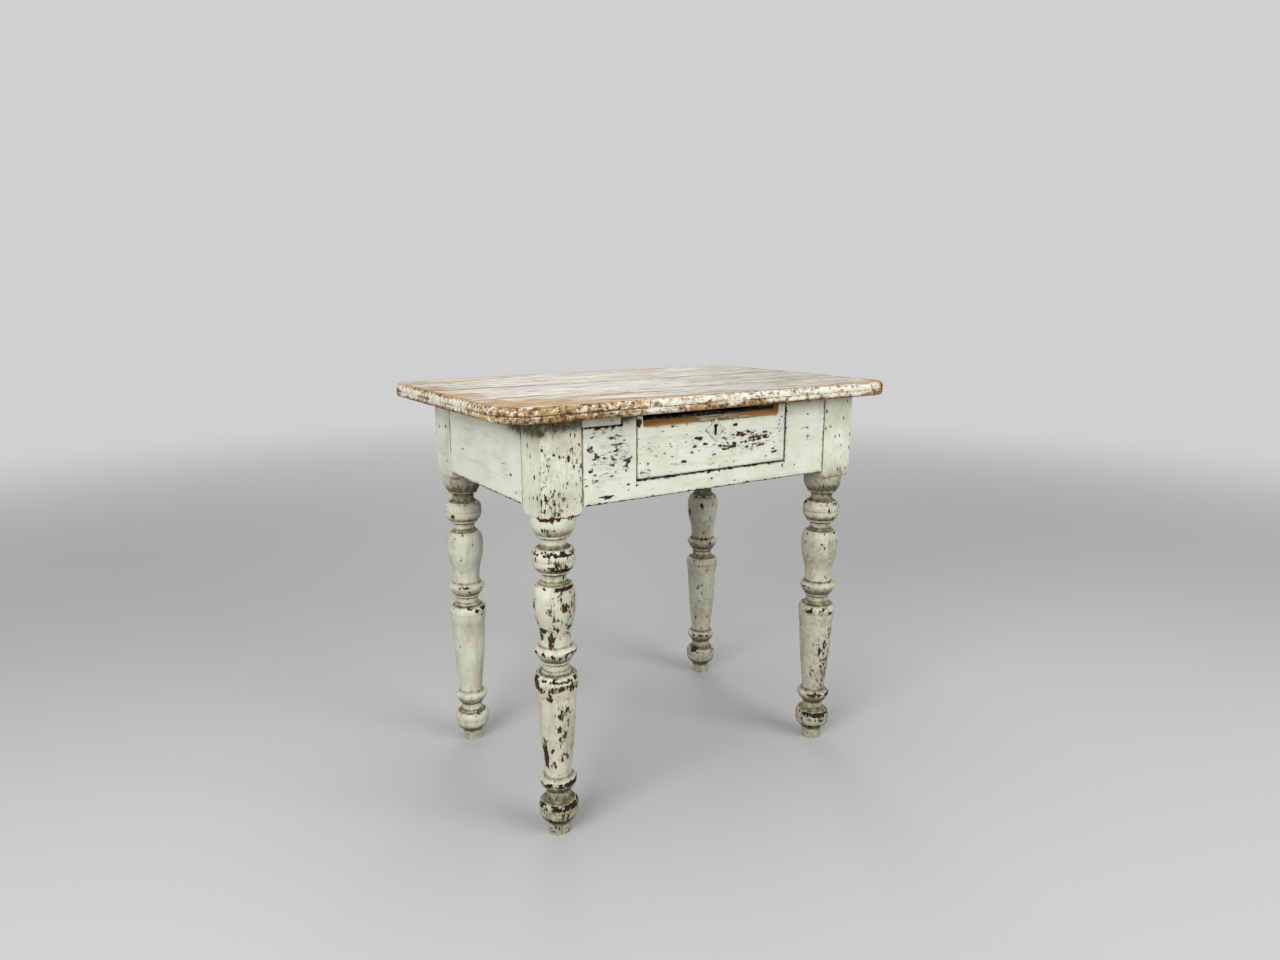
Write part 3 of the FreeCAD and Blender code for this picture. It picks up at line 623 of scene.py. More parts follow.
def legSpots(leg, axis):
    placed = []
    for angle, z, wide, tall, amount in leg["spots"]:
        r = next(r for height, r, _, _ in legRows if height >= z) or legHead["half"]
        out = Vector((math.cos(math.radians(angle)), math.sin(math.radians(angle)), 0)) * r
        placed.append((axis + out + Vector((0, 0, z)), (wide, wide, tall), amount))
    return placed


def buildLeg(leg, look=legWearAndShade):
    low, high = nodeBox(leg["node"])
    axis = Vector(((low.x + high.x) / 2, (low.y + high.y) / 2, 0))
    spots = legSpots(leg, axis)
    bm, wear, edge, grimeAndShade, _ = startMesh()
    bmesh.ops.create_circle(bm, cap_ends=True, segments=len(legDirections), radius=1)
    bm.verts.ensure_lookup_table()
    for v, direction in zip(bm.verts, legDirections):
        v.co = (direction.x, direction.y, 0)
    ring = [e for e in bm.edges if e.is_boundary]
    verts = list(bm.verts)
    for number, (z, radius, rim, hollow) in enumerate(legRows):
        if number:
            grown = bmesh.ops.extrude_edge_only(bm, edges=ring)
            verts = newVerts(grown)
            ring = [g for g in grown["geom"] if isinstance(g, bmesh.types.BMEdge) and g.is_boundary]
        foot = leg["footGrime"] * ease((leg["footReach"] - z) / 70)
        # painted shade and soil: the turned parts darker below the aprons; dust darkens them towards the
        # floor
        soilAndShade = leg["soilAndShade"] * ease((look["soilAndShadeTop"] - z) / 100)
        soilAndShade += look["dust"] * ease((look["dustTop"] - z) / look["dustTop"])
        scuff = leg["footWear"] * ease((look["scuffTop"] - z) / 10)
        for v in verts:
            direction = Vector((v.co.x, v.co.y)).normalized()
            corner = rim
            r = radius
            if radius is None:
                r = headRadius(direction, legHead)
                corner = max(rim, look["arrisWear"] * ease((r - legHead["half"] * 1.22) / 5))
                r = min(r, legHead["pommelRadius"] + max(0, z - headBottom))
            place = axis + Vector((direction.x * r, direction.y * r, z))
            r += look["wobble"] * (grainNoise(place, look["wobbleSize"], leg["seed"]) - 1)
            bite = grainNoise(place, look["biteSize"], leg["seed"])
            bite += look["fineBite"] * grainNoise(place, look["fineSize"])
            r -= corner * max(0, bite) * leg["nibble"]
            v.co = (direction.x * r, direction.y * r, z)
            v[edge] = corner * leg["edge"]
            v[wear] = leg["wear"] + spotWear(place, spots) + scuff
            # mark of dirt and painted shade: hollows and undersides, dirt on the foot, the darkening below
            # the aprons, and painted shadow of the top and the aprons
            v[grimeAndShade] = min(1.0, hollow * leg["grimeAndShade"] + foot + soilAndShade + spotWear(place, leg["paintedShade"]))
    bmesh.ops.edgeloop_fill(bm, edges=ring)
    bmesh.ops.translate(bm, verts=bm.verts, vec=axis)
    endMesh(bm, leg, paints[leg["paint"]])


# spots: angle round the leg in degrees, height, half width, half height, amount; the painted shade entries
# are painted shadow of the top and the aprons, as centre, radii, amount
legs = [
    {"node": "leg_front_left", "name": "frontLeftLeg", "paint": "wornLegPaint", "seed": 3.1, "wear": 0.26,
     "nibble": 2.6, "edge": 0.9, "grimeAndShade": 0.85, "footGrime": 0.26, "footReach": 135,
     "footWear": 0.7, "soilAndShade": 0.28,
     "paintedShade": [((-347, -205, 748), (18, 110, 36), 1.2), ((-315, -236, 748), (80, 18, 28), 1.2)],
     "spots": [
         (-92, 415, 34, 60, 0.72), (-92, 200, 28, 85, 0.66), (-90, 655, 46, 100, 0.56),
         (-112, 610, 34, 34, 0.72), (-100, 505, 32, 28, 0.52), (-170, 660, 30, 84, 0.34),
         (-120, 60, 44, 34, 0.66), (-110, 104, 44, 12, 0.6), (-129, 423, 10, 10, 1.0),
         (-92, 430, 9, 13, 1.1), (-76, 431, 9, 15, 1.05), (167, 432, 9, 13, 1.1),
         (-121, 408, 15, 6, 0.95), (-162, 386, 14, 6, 1.25), (-176, 374, 7, 12, 1.2),
         (-133, 370, 7, 20, 1.35), (-103, 366, 7, 9, 1.0), (-69, 384, 8, 15, 1.0),
         (168, 402, 9, 13, 1.0), (-120, 388, 11, 6, 0.9), (174, 289, 14, 11, 1.3),
         (-165, 281, 13, 8, 1.25), (-138, 274, 7, 15, 1.2), (-120, 284, 13, 7, 1.15),
         (-97, 287, 13, 7, 1.15), (-73, 285, 11, 10, 1.2), (-45, 283, 14, 8, 1.0), (60, 286, 30, 8, 0.9),
         (-167, 160, 8, 38, 1.4), (-104, 238, 8, 10, 0.95), (-85, 242, 8, 10, 0.95),
         (-106, 211, 8, 12, 0.95), (-95, 198, 5, 9, 1.0), (-134, 167, 5, 9, 1.0),
         (-107, 154, 5, 11, 1.05), (-75, 156, 5, 11, 1.05), (-136, 143, 5, 8, 1.0),
         (-135, 582, 20, 6, 1.35), (-105, 581, 18, 4, 1.1), (-60, 581, 16, 5, 1.15),
         (-128, 558, 18, 9, 0.9), (-110, 506, 7, 7, 1.0), (-91, 500, 8, 7, 1.0), (-127, 498, 7, 6, 1.0),
         (-120, 338, 28, 5, 0.9), (-135, 700, 7, 14, 0.7), (-135, 668, 6, 16, 0.6),
         (-135, 630, 7, 24, 0.7), (-128, 604, 12, 18, 0.8), (-70, 692, 7, 8, 1.05),
         (-74, 678, 8, 6, 1.05), (-112, 688, 6, 5, 1.0), (-88, 612, 6, 6, 1.1)]},
    {"node": "leg_front_right", "name": "frontRightLeg", "paint": "legPaint", "seed": 7.7, "wear": 0.16,
     "nibble": 2.2, "edge": 0.7, "grimeAndShade": 0.85, "footGrime": 0.04, "footReach": 110,
     "footWear": 0.6, "soilAndShade": 0.46,
     "paintedShade": [((309, -230, 562), (50, 40, 34), 0.3)],
     "spots": [
         (-100, 420, 30, 60, 0.42), (-112, 190, 28, 85, 0.72), (-85, 165, 20, 60, 0.9),
         (-60, 640, 40, 90, 0.42), (-110, 60, 40, 30, 0.6), (-45, 596, 13, 16, 1.15),
         (-45, 622, 8, 20, 0.9), (-53, 514, 6, 6, 1.2), (-116, 436, 7, 8, 1.0), (-63, 441, 6, 8, 1.0),
         (-94, 368, 6, 7, 1.0), (-164, 293, 14, 4, 1.3), (-120, 291, 9, 6, 1.1), (-85, 290, 8, 6, 1.1),
         (157, 262, 8, 22, 0.9), (-76, 248, 7, 15, 1.0), (-99, 219, 7, 15, 1.05),
         (-117, 206, 7, 11, 1.05), (-143, 152, 6, 18, 1.05), (-90, 142, 6, 18, 1.1),
         (-146, 128, 7, 10, 1.05), (-99, 52, 14, 11, 1.0), (-130, 106, 18, 5, 1.0),
         (-60, 106, 18, 5, 1.0), (-45, 690, 7, 13, 1.0)]},
    {"node": "leg_back_left", "name": "backLeftLeg", "paint": "legPaint", "seed": 12.4, "wear": 0.12,
     "nibble": 2.0, "edge": 0.5, "grimeAndShade": 0.85, "footGrime": 0.2, "footReach": 84,
     "footWear": 0.4, "soilAndShade": 0.26,
     "paintedShade": [((-300, 165, 560), (60, 50, 44), 0.5)],
     "spots": [
         (-120, 420, 32, 60, 0.38), (-120, 180, 28, 110, 0.32), (170, 660, 40, 84, 0.3),
         (60, 300, 40, 200, 0.45), (-150, 500, 8, 6, 1.2), (-103, 425, 5, 6, 1.0),
         (-128, 381, 5, 6, 1.0), (-118, 349, 12, 4, 1.1), (-104, 304, 8, 5, 1.05),
         (-76, 296, 9, 5, 1.05), (-80, 264, 5, 7, 1.0), (-53, 298, 10, 7, 1.05), (-81, 66, 7, 6, 1.0),
         (-146, 452, 5, 6, 0.95), (60, 290, 14, 9, 1.2), (100, 420, 9, 14, 1.1)]},
    {"node": "leg_back_right", "name": "backRightLeg", "paint": "legPaint", "seed": 18.9, "wear": 0.20,
     "nibble": 2.2, "edge": 0.65, "grimeAndShade": 0.9, "footGrime": 0.06, "footReach": 110,
     "footWear": 0.6, "soilAndShade": 0.42,
     "paintedShade": [((309, 165, 540), (60, 60, 90), 0.45)],
     "spots": [
         (-125, 420, 30, 80, 0.5), (-125, 180, 28, 110, 0.5), (40, 300, 40, 200, 0.45),
         (171, 421, 9, 17, 1.05), (-131, 441, 6, 11, 1.0), (-120, 355, 13, 5, 1.1),
         (175, 318, 10, 7, 1.0), (-87, 324, 8, 6, 1.0), (-115, 289, 10, 5, 1.1), (-105, 276, 6, 11, 1.0),
         (-143, 233, 6, 8, 1.0), (-126, 122, 8, 5, 1.0), (-164, 66, 10, 8, 1.55), (-95, 70, 8, 6, 1.0),
         (40, 285, 16, 9, 1.1), (80, 180, 6, 26, 1.2)]},
]
for leg in legs:
    buildLeg(leg)


# top boards: a grid for the flats, its rim carried down the moulded edge

topSlab = {"radius": 62.0, "edgeRound": 9.0, "underRound": 6.0, "thickness": 26.0, "quirkDrop": 13.0,
           "quirkHeight": 1.8, "quirkDepth": 1.8, "cell": 4.0, "cornerSteps": 16, "nibble": 2.4,
           "fibreDepth": 0.35, "jointWidth": 3.0,
           "crispLevels": (1, 2, 3, 6, 12, 13), "quirkLevels": (7, 8)}


def slabProfile(slab):
    # drop below the top and inset from the outline, level by level
    levels = []
    for k in range(6):
        a = math.radians(18 * k)
        levels.append((slab["edgeRound"] * (1 - math.cos(a)), slab["edgeRound"] * (1 - math.sin(a))))
    drop, depth = slab["quirkDrop"], slab["quirkDepth"]
    low = drop + slab["quirkHeight"]
    levels += [(drop - 0.2, 0), (drop, depth), (low, depth), (low + 0.2, 0)]
    r = slab["underRound"]
    for k in range(5):
        a = math.radians(22.5 * k)
        levels.append((slab["thickness"] - r + r * math.sin(a), r * (1 - math.cos(a))))
    return levels


topLevels = slabProfile(topSlab)
slabHigh = nodeBox("top_board_back")[1]
slabCore = Vector((slabHigh.x - topSlab["radius"], slabHigh.y - topSlab["radius"]))

# centre, radii, amount of bare wood on the top and its edge
topSpots = [
    ((-398, 10, 772), (38, 180, 8), 0.42), ((-398, -190, 772), (44, 70, 8), 0.68),  # flat, left end
    ((-345, -215, 772), (84, 50, 8), 0.60), ((-250, -254, 772), (150, 24, 7), 0.58),
    ((-110, -266, 772), (110, 10, 6), 0.48), ((-335, -128, 772), (50, 15, 7), 0.66),
    ((-330, 60, 772), (84, 24, 7), 0.42), ((-330, 195, 772), (95, 22, 7), 0.48),
    ((-150, -170, 772), (130, 24, 7), 0.30), ((-20, 225, 772), (240, 14, 7), 0.42),
    ((-430, 235, 752), (20, 44, 12), 0.9), ((-430, 70, 755), (12, 34, 16), 0.40),  # left end edge
    ((-430, -40, 757), (12, 30, 16), 0.35), ((-425, -170, 757), (18, 60, 18), 0.45),
    ((-428, 0, 747), (14, 230, 4), 0.8), ((-424, 20, 769), (8, 230, 4), 0.6),
    ((-400, -250, 757), (50, 38, 24), 0.60), ((-310, -278, 757), (122, 14, 26), 0.58),  # front left corner
    ((-300, -280, 748), (112, 12, 6), 0.78), ((-195, -280, 755), (26, 14, 18), 0.50),
    ((-60, -278, 750), (50, 12, 7), 0.75), ((62, -278, 750), (26, 12, 7), 1.1),  # front edge, right half
    ((10, -278, 747), (90, 12, 4), 0.8), ((180, -277, 746), (160, 12, 3.5), 0.8),
    ((60, -278, 757), (380, 14, 22), 0.16), ((110, -271, 769), (330, 5, 3), 0.7),
    ((402, -262, 757), (26, 24, 26), 1.2), ((424, -230, 757), (20, 40, 26), 1.1),
    ((372, -278, 749), (42, 12, 7), 0.7),
    ((0, 272, 770), (380, 8, 8), 0.5), ((120, 278, 752), (90, 12, 10), 0.6),  # back and right end edges
    ((-160, 278, 756), (60, 12, 14), 0.5), ((428, 60, 768), (12, 200, 8), 0.5),
    ((428, 120, 752), (12, 60, 10), 0.6),
]


def boardRows(low, high, breaks):
    # lines across a board; the rounded corners get theirs by angle
    core, radius, steps = slabCore.y, topSlab["radius"], topSlab["cornerSteps"]
    arc = [radius * math.sin(math.radians(90 * k / steps)) for k in range(1, steps + 1)]
    rows = spread([max(low, -core)] + breaks + [min(high, core)], topSlab["cell"])
    if low < -core:
        rows = [-core - off for off in reversed(arc)] + rows
    if high > core:
        rows = rows + [core + off for off in arc]
    return rows


def cutMortise(bm, mortise, bottom):
    floor = []
    for f in bm.faces:
        c = f.calc_center_median()
        if c.z < bottom + 1 and abs(c.x) < mortise["half"] and mortise["near"] < c.y < mortise["far"]:
            floor.append(f)
    thicken(bm, floor, (0, 0, mortise["depth"]))
    bmesh.ops.delete(bm, geom=floor, context="FACES")


def buildTopBoard(board, slab=topSlab):
    low, high = nodeBox(board["node"])
    core, radius = slabCore, slab["radius"]
    mortise = board.get("mortise")
    rows = boardRows(low.y, high.y, [mortise["near"], mortise["far"]] if mortise else [])
    reach = mortise["half"] / high.x if mortise else 0.1
    columns = spread([-1, -reach, reach, 1], slab["cell"] / high.x)
    bm, wear, edge, grimeAndShade, bare = startMesh()
    gridSheet(bm, columns, rows)
    for v in bm.verts:
        share, y = v.co.x, v.co.z
        beyond = max(0.0, abs(y) - core.y)
        half = core.x + math.sqrt(max(0.0, radius ** 2 - beyond ** 2))
        v.co = (share * half, y, high.z)
    thicken(bm, bm.faces[:], (0, 0, -slab["thickness"]))
    upright = [e for e in bm.edges if abs(e.verts[0].co.z - e.verts[1].co.z) > 1]
    count = len(topLevels) - 1
    bmesh.ops.subdivide_edges(bm, edges=upright, cuts=count - 1)
    middle, width = (low.y + high.y) / 2, high.y - low.y
    for v in bm.verts:
        level = round((high.z - v.co.z) / slab["thickness"] * count)
        drop, inset = topLevels[level]
        crisp, quirk = level in slab["crispLevels"], level in slab["quirkLevels"]
        nearest = Vector((min(max(v.co.x, -core.x), core.x), min(max(v.co.y, -core.y), core.y)))
        off = Vector((v.co.x, v.co.y)) - nearest
        rim = off.length > radius - 0.01
        z = high.z - drop
        place = Vector((v.co.x, v.co.y, z))
        if rim:
            bite = max(0, grainNoise(place, 14, 1.7) - 0.1) + 0.5 * max(0, grainNoise(place, 5, 4.2))
            inset += (0.35 + 0.65 * crisp) * bite * slab["nibble"]
        flat = nearest + off * (1 - inset / radius)
        if level == 0:
            z -= board["sink"] + board["cup"] * ((v.co.y - middle) / width) ** 2
            fibre = grainNoise(Vector((v.co.x / 9, v.co.y, 0)), 7, board["seed"])
            z -= slab["fibreDepth"] * (0.5 + 0.5 * fibre)
        toFront = v.co.y - low.y if low.y > -core.y else width
        toBack = high.y - v.co.y if high.y < core.y else width
        joint = 1 - min(toFront, toBack) / slab["jointWidth"]
        v.co = (flat.x, flat.y, z)
        v[wear] = board["wear"] + spotWear(place, topSpots)
        v[edge] = max(rim * (0.7 * crisp + 1.0 * quirk), 0.8 * ease(joint))
        v[grimeAndShade] = 0.5 * min(level, 2) if rim else 0.0  # tells the moulded edge from the flat
        v[bare] = 1.0 if level == count else 0.0
    if mortise:
        cutMortise(bm, mortise, low.z)
    material = washedTop(board["name"] + "Pine", (0.37 * board["seed"], 0, 0.05 * board["seed"]))
    endMesh(bm, board, material, "table", 50)


boltMortise = {"half": 13.3, "near": -210.5, "far": -204.9, "depth": 7.0}

topBoards = [
    {"node": "top_board_front", "name": "frontTopBoard", "sink": 0.0, "cup": 1.0, "seed": 1.3, "wear": 0.12,
     "mortise": boltMortise},
    {"node": "top_board_mid_front", "name": "midFrontTopBoard", "sink": 0.3, "cup": 1.4, "seed": 5.2,
     "wear": 0.06},
    {"node": "top_board_mid_back", "name": "midBackTopBoard", "sink": 0.1, "cup": 0.8, "seed": 8.8,
     "wear": 0.12},
    {"node": "top_board_back", "name": "backTopBoard", "sink": 0.25, "cup": 1.2, "seed": 11.6,
     "wear": 0.08},
]
for board in topBoards:
    buildTopBoard(board)


# aprons: sawn boards with eased arrises, bare on the inside

def buildApron(board):
    low, high = nodeBox(board["node"])
    alongX, side, reach = board["alongX"], board["side"], board["reach"]
    if alongX:
        face, spotFace = (high.y if side > 0 else low.y), side * frameReach.y
    else:
        face, spotFace = (high.x if side > 0 else low.x), side * frameReach.x
    spots = faceSpots(board["spots"], spotFace, alongX)
    across = spread(sorted([-reach, reach] + board.get("breaksAlong", [])), board["cell"])
    up = spread(sorted([low.z, high.z] + board.get("breaksUp", [])), board["cell"])
    bm, wear, edge, grimeAndShade, bare = startMesh()
    gridSheet(bm, across, up)
    gone = []
    for f in bm.faces:
        c = f.calc_center_median()
        if any(x0 < c.x < x1 and z0 < c.z < z1 for x0, x1, z0, z1 in board.get("cuts", [])):
            gone.append(f)
    bmesh.ops.delete(bm, geom=gone, context="FACES")
    thicken(bm, bm.faces[:], (0, board["thickness"], 0))
    arrises = sharpEdges(bm)
    if "kerf" in board:  # the saw cut stays sharp
        start, end = board["kerf"]
        arrises = [e for e in arrises if not start - 1 < (e.verts[0].co.x + e.verts[1].co.x) / 2 < end + 1]
    for v in easeArrises(bm, arrises, board["arris"]):
        v[edge] = 1.0
    for v in bm.verts:
        if abs(v.co.x) > reach - 4:
            v[edge] *= 0.12
    spreadEdge(bm, edge, 2)
    for v in bm.verts:
        depth = v.co.y
        atLeg = abs(v.co.x) > reach - 2
        inside = face - side * depth
        v.co = (v.co.x, inside, v.co.z) if alongX else (inside, v.co.x, v.co.z)
        v[bare] = 1.0 if depth > 4 else 0.0
        v[wear] = board["wear"] + spotWear(v.co, spots)
        # painted shadow of the top's overhang darkens the upper 40 mm; the arrises darken with dirt and
        # with painted shade in the gaps round the drawer
        shade = ease((v.co.z - (high.z - 40)) / 40)
        v[grimeAndShade] = max(board["grimeAndShade"] + 0.35 * shade, 0.9 * ease((v[edge] - 0.35) / 0.6))
        # painted shadow and painted shade in the joints from the listed entries, and darker where the apron
        # meets the leg
        v[grimeAndShade] = min(1.2, v[grimeAndShade] + spotWear(v.co, board["paintedShade"]) + 0.6 * atLeg)
    bmesh.ops.recalc_face_normals(bm, faces=bm.faces)
    bm.normal_update()
    for v in bm.verts:
        bite = max(0, grainNoise(v.co, 8, board["seed"]) - 0.05) * v[edge] * board["nibble"]
        lift = 0.18 * (grainNoise(v.co, 45, board["seed"]) - 1)
        v.co += v.normal * (lift - bite)
    endMesh(bm, board, paints[board["paint"]])


drawerGap = {"half": 168.5, "railTop": 628.0, "kerfWidth": 1.2, "kerfFoot": 617.0, "over": 800.0}
patchLow, patchHigh = nodeBox("apron_patch")
half, railTop, over = drawerGap["half"], drawerGap["railTop"], drawerGap["over"]
kerfEnd = -half + drawerGap["kerfWidth"]

# spots: place along the face, height, half width, half height, amount; painted shade entries are painted
# shadow under the overhang and painted shade in the joints with the legs, as centre, radii, amount
aprons = [
    {"node": "front_apron", "name": "frontApron", "paint": "apronPaint", "alongX": True, "side": -1,
     "reach": 272.0, "thickness": 24.0, "cell": 3.0, "arris": 1.1, "nibble": 1.5, "seed": 2.2,
     "wear": 0.17, "grimeAndShade": 0.06,
     "breaksAlong": [-half, kerfEnd, half, patchHigh.x],
     "breaksUp": [railTop, drawerGap["kerfFoot"], patchLow.z],
     "kerf": (-half, kerfEnd),
     "cuts": [(-half, half, railTop, over), (-half, kerfEnd, drawerGap["kerfFoot"], railTop),
              (patchLow.x - 1, patchHigh.x, patchLow.z, over)],
     "paintedShade": [((-235, -236, 748), (80, 14, 24), 1.1), ((272, -236, 670), (4, 9, 90), 0.9)],
     "spots": [
         (-205, 690, 22, 26, 0.85), (-190, 672, 14, 30, 0.95), (-225, 680, 50, 56, 0.68),
         (-225, 606.5, 22, 2.6, 1.9), (-258, 690, 9, 10, 1.2), (-247, 676, 8, 7, 1.15),
         (-250, 636, 9, 5, 1.1), (-258, 655, 8, 7, 1.1), (222, 690, 10, 6, 0.9), (228, 668, 5, 6, 1.1),
         (-10, 612, 8, 4, 1.1), (165, 618, 6, 5, 1.2)]},
    {"node": "back_apron", "name": "backApron", "paint": "apronPaint", "alongX": True, "side": 1,
     "reach": 272.0, "thickness": 24.0, "cell": 4.0, "arris": 1.2, "nibble": 1.6, "seed": 6.4,
     "wear": 0.10, "grimeAndShade": 0.08, "paintedShade": [],
     "spots": [
         (-120, 660, 60, 20, 0.7), (90, 640, 80, 16, 0.8), (200, 700, 30, 18, 0.7)]},
    {"node": "left_apron", "name": "leftApron", "paint": "endApronPaint", "alongX": False, "side": -1,
     "reach": 161.0, "thickness": 24.0, "cell": 3.5, "arris": 1.0, "nibble": 1.4, "seed": 9.1,
     "wear": 0.02, "grimeAndShade": 0.04,
     "paintedShade": [((-347, -205, 748), (18, 150, 40), 1.2), ((-347, 164, 680), (9, 8, 70), 1.3)],
     "spots": [
         (-60, 668, 18, 14, 0.7), (-100, 640, 22, 22, 0.65), (30, 640, 6, 5, 1.0),
         (-20, 620, 12, 8, 0.7)]},
    {"node": "right_apron", "name": "rightApron", "paint": "endApronPaint", "alongX": False, "side": 1,
     "reach": 161.0, "thickness": 24.0, "cell": 3.5, "arris": 1.0, "nibble": 1.4, "seed": 14.3,
     "wear": 0.07, "grimeAndShade": 0.06, "paintedShade": [],
     "spots": [
         (40, 660, 40, 18, 0.8), (-70, 630, 30, 14, 0.8)]},
]
for board in aprons:
    buildApron(board)


# the let-in strip of the front apron

letInStrip = {"node": "apron_patch", "name": "letInStrip", "cell": 3.0, "gapBeside": 0.4, "gapBelow": 0.5,
              "sunk": 0.2, "arris": 0.5, "wobble": 0.15, "seed": 3.9,
              "wear": 0.3, "grimeAndShade": 0.25, "edge": 0.5}


def buildStrip(strip):
    low, high = nodeBox(strip["node"])
    bm, wear, edge, grimeAndShade, _ = startMesh()
    across = spread([low.x + strip["gapBeside"], high.x - strip["gapBeside"]], strip["cell"])
    gridSheet(bm, across, spread([low.z + strip["gapBelow"], high.z], strip["cell"]))
    thicken(bm, bm.faces[:], (0, high.y - low.y, 0))
    bmesh.ops.translate(bm, verts=bm.verts, vec=(0, low.y + strip["sunk"], 0))
    for v in easeArrises(bm, sharpEdges(bm), strip["arris"]):
        v[edge] = strip["edge"]
    for v in bm.verts:
        v[wear] = strip["wear"]
        v[grimeAndShade] = strip["grimeAndShade"]
        v.co.y += strip["wobble"] * grainNoise(v.co, 20, strip["seed"])
    endMesh(bm, strip, paints["apronPaint"])


buildStrip(letInStrip)


# pegs: slightly proud, uneven ends

pegLook = {
    "node": "tenon_pegs", "name": "tenonPegEnds", "radius": 4.0, "length": 12.0, "arris": 0.7, "sides": 20,
    "proud": 0.1, "sunk": 1.2, "alongX": 288.0, "alongY": 177.0, "heights": (618.25, 685.75),
    # ends that have worn dark
    "lost": [(288, -236, 618.25), (-288, -236, 618.25), (-347, -177, 618.25), (-347, -177, 685.75)],
}


def buildPegs(peg):
    bm, wear, edge, grimeAndShade, _ = startMesh()
    places = []
    for z in peg["heights"]:
        for side in (-1, 1):
            for end in (-1, 1):
                places.append((Vector((side * peg["alongX"], end * frameReach.y, z)), Vector((0, end, 0))))
                places.append((Vector((side * frameReach.x, end * peg["alongY"], z)), Vector((side, 0, 0))))
    for place, out in places:
        known = set(bm.verts)
        bmesh.ops.create_cone(bm, cap_ends=True, segments=peg["sides"], radius1=peg["radius"],
                              radius2=peg["radius"], depth=peg["length"])
        rim = [e for e in bm.edges if all(v not in known and v.co.z > 0 for v in e.verts)]
        easeArrises(bm, rim, peg["arris"])
        fresh = [v for v in bm.verts if v not in known]
        lost = any((Vector(spot) - place).length < 1 for spot in peg["lost"])
        for v in fresh:
            v[edge] = 0.9
            v[grimeAndShade] = 0.4
            v[wear] = 1.3 if lost else 0.2
        bmesh.ops.transform(bm, matrix=out.to_track_quat("Z", "Y").to_matrix().to_4x4(), verts=fresh)
        depth = peg["length"] / 2 + (peg["sunk"] if lost else -peg["proud"])
        bmesh.ops.translate(bm, verts=fresh, vec=place - out * depth)
    endMesh(bm, peg, paints["legPaint"])


buildPegs(pegLook)


# drawer front: a sheet whose upper edge dips into the finger scoop

drawerFace = {
    "node": "drawer_front", "name": "drawerFront", "cell": 2.5, "scoopLeft": -155.0, "scoopRight": 150.0,
    "frontDepth": 21.0, "backDepth": 9.0, "corner": 8.0, "cornerSteps": (0.3, 2, 5, 8), "layers": 8,
    "keyHalf": 4.2, "keyLow": 691.0, "keyHigh": 713.0, "tailDepth": 15.0, "tailSink": 0.4,
    "scrapsAt": 25.0, "scrapsHalf": 80.0, "nibble": 1.2, "arrisLoss": 0.3, "leftLoss": 0.7, "edge": 0.6,
    "seed": 4.6, "wear": 0.25, "grimeAndShade": 0.04,
    "spots": [
        (65, 677, 100, 24, 0.66), (-35, 680, 45, 18, 0.6), (-110, 690, 60, 34, 0.36),
        (-35, 689, 12, 4, 1.3), (-22, 677, 8, 3, 1.4), (-45, 674, 9, 3, 1.3), (-52, 665, 7, 4, 1.1),
        (-70, 650, 8, 4, 1.1), (-90, 648, 10, 3, 0.9), (18, 671, 16, 4, 1.0), (40, 667, 11, 3.2, 1.9),
        (46, 671, 4, 5, 1.9), (25, 664, 10, 2, 1.5), (0, 658, 14, 3, 1.0), (60, 688, 16, 5, 1.2),
        (80, 690, 18, 4, 1.2), (95, 678, 22, 6, 1.1), (120, 682, 18, 9, 1.1), (110, 666, 20, 5, 1.0),
        (80, 662, 12, 4, 1.0), (45, 707, 7, 4, 1.3), (95, 708, 6, 3, 1.1), (-130, 700, 22, 3, 0.7),
        (-90, 714, 14, 3, 0.7), (145, 650, 14, 10, 0.9), (-150, 640, 14, 8, 0.9), (155, 690, 8, 40, 0.6),
        (20, 640, 60, 4, 0.7)],
    "cornerSpot": ((-164, -236, 726), (7, 12, 10), 1.2),
}


def scoopTop(x, depth, face, top):
    left, right, r = face["scoopLeft"], face["scoopRight"], face["corner"]
    if x <= left or x >= right:
        return top
    inset = min(x - left, right - x)
    floor = top - depth
    if inset >= r:
        return floor
    return floor + r - math.sqrt(r * r - (r - inset) ** 2)


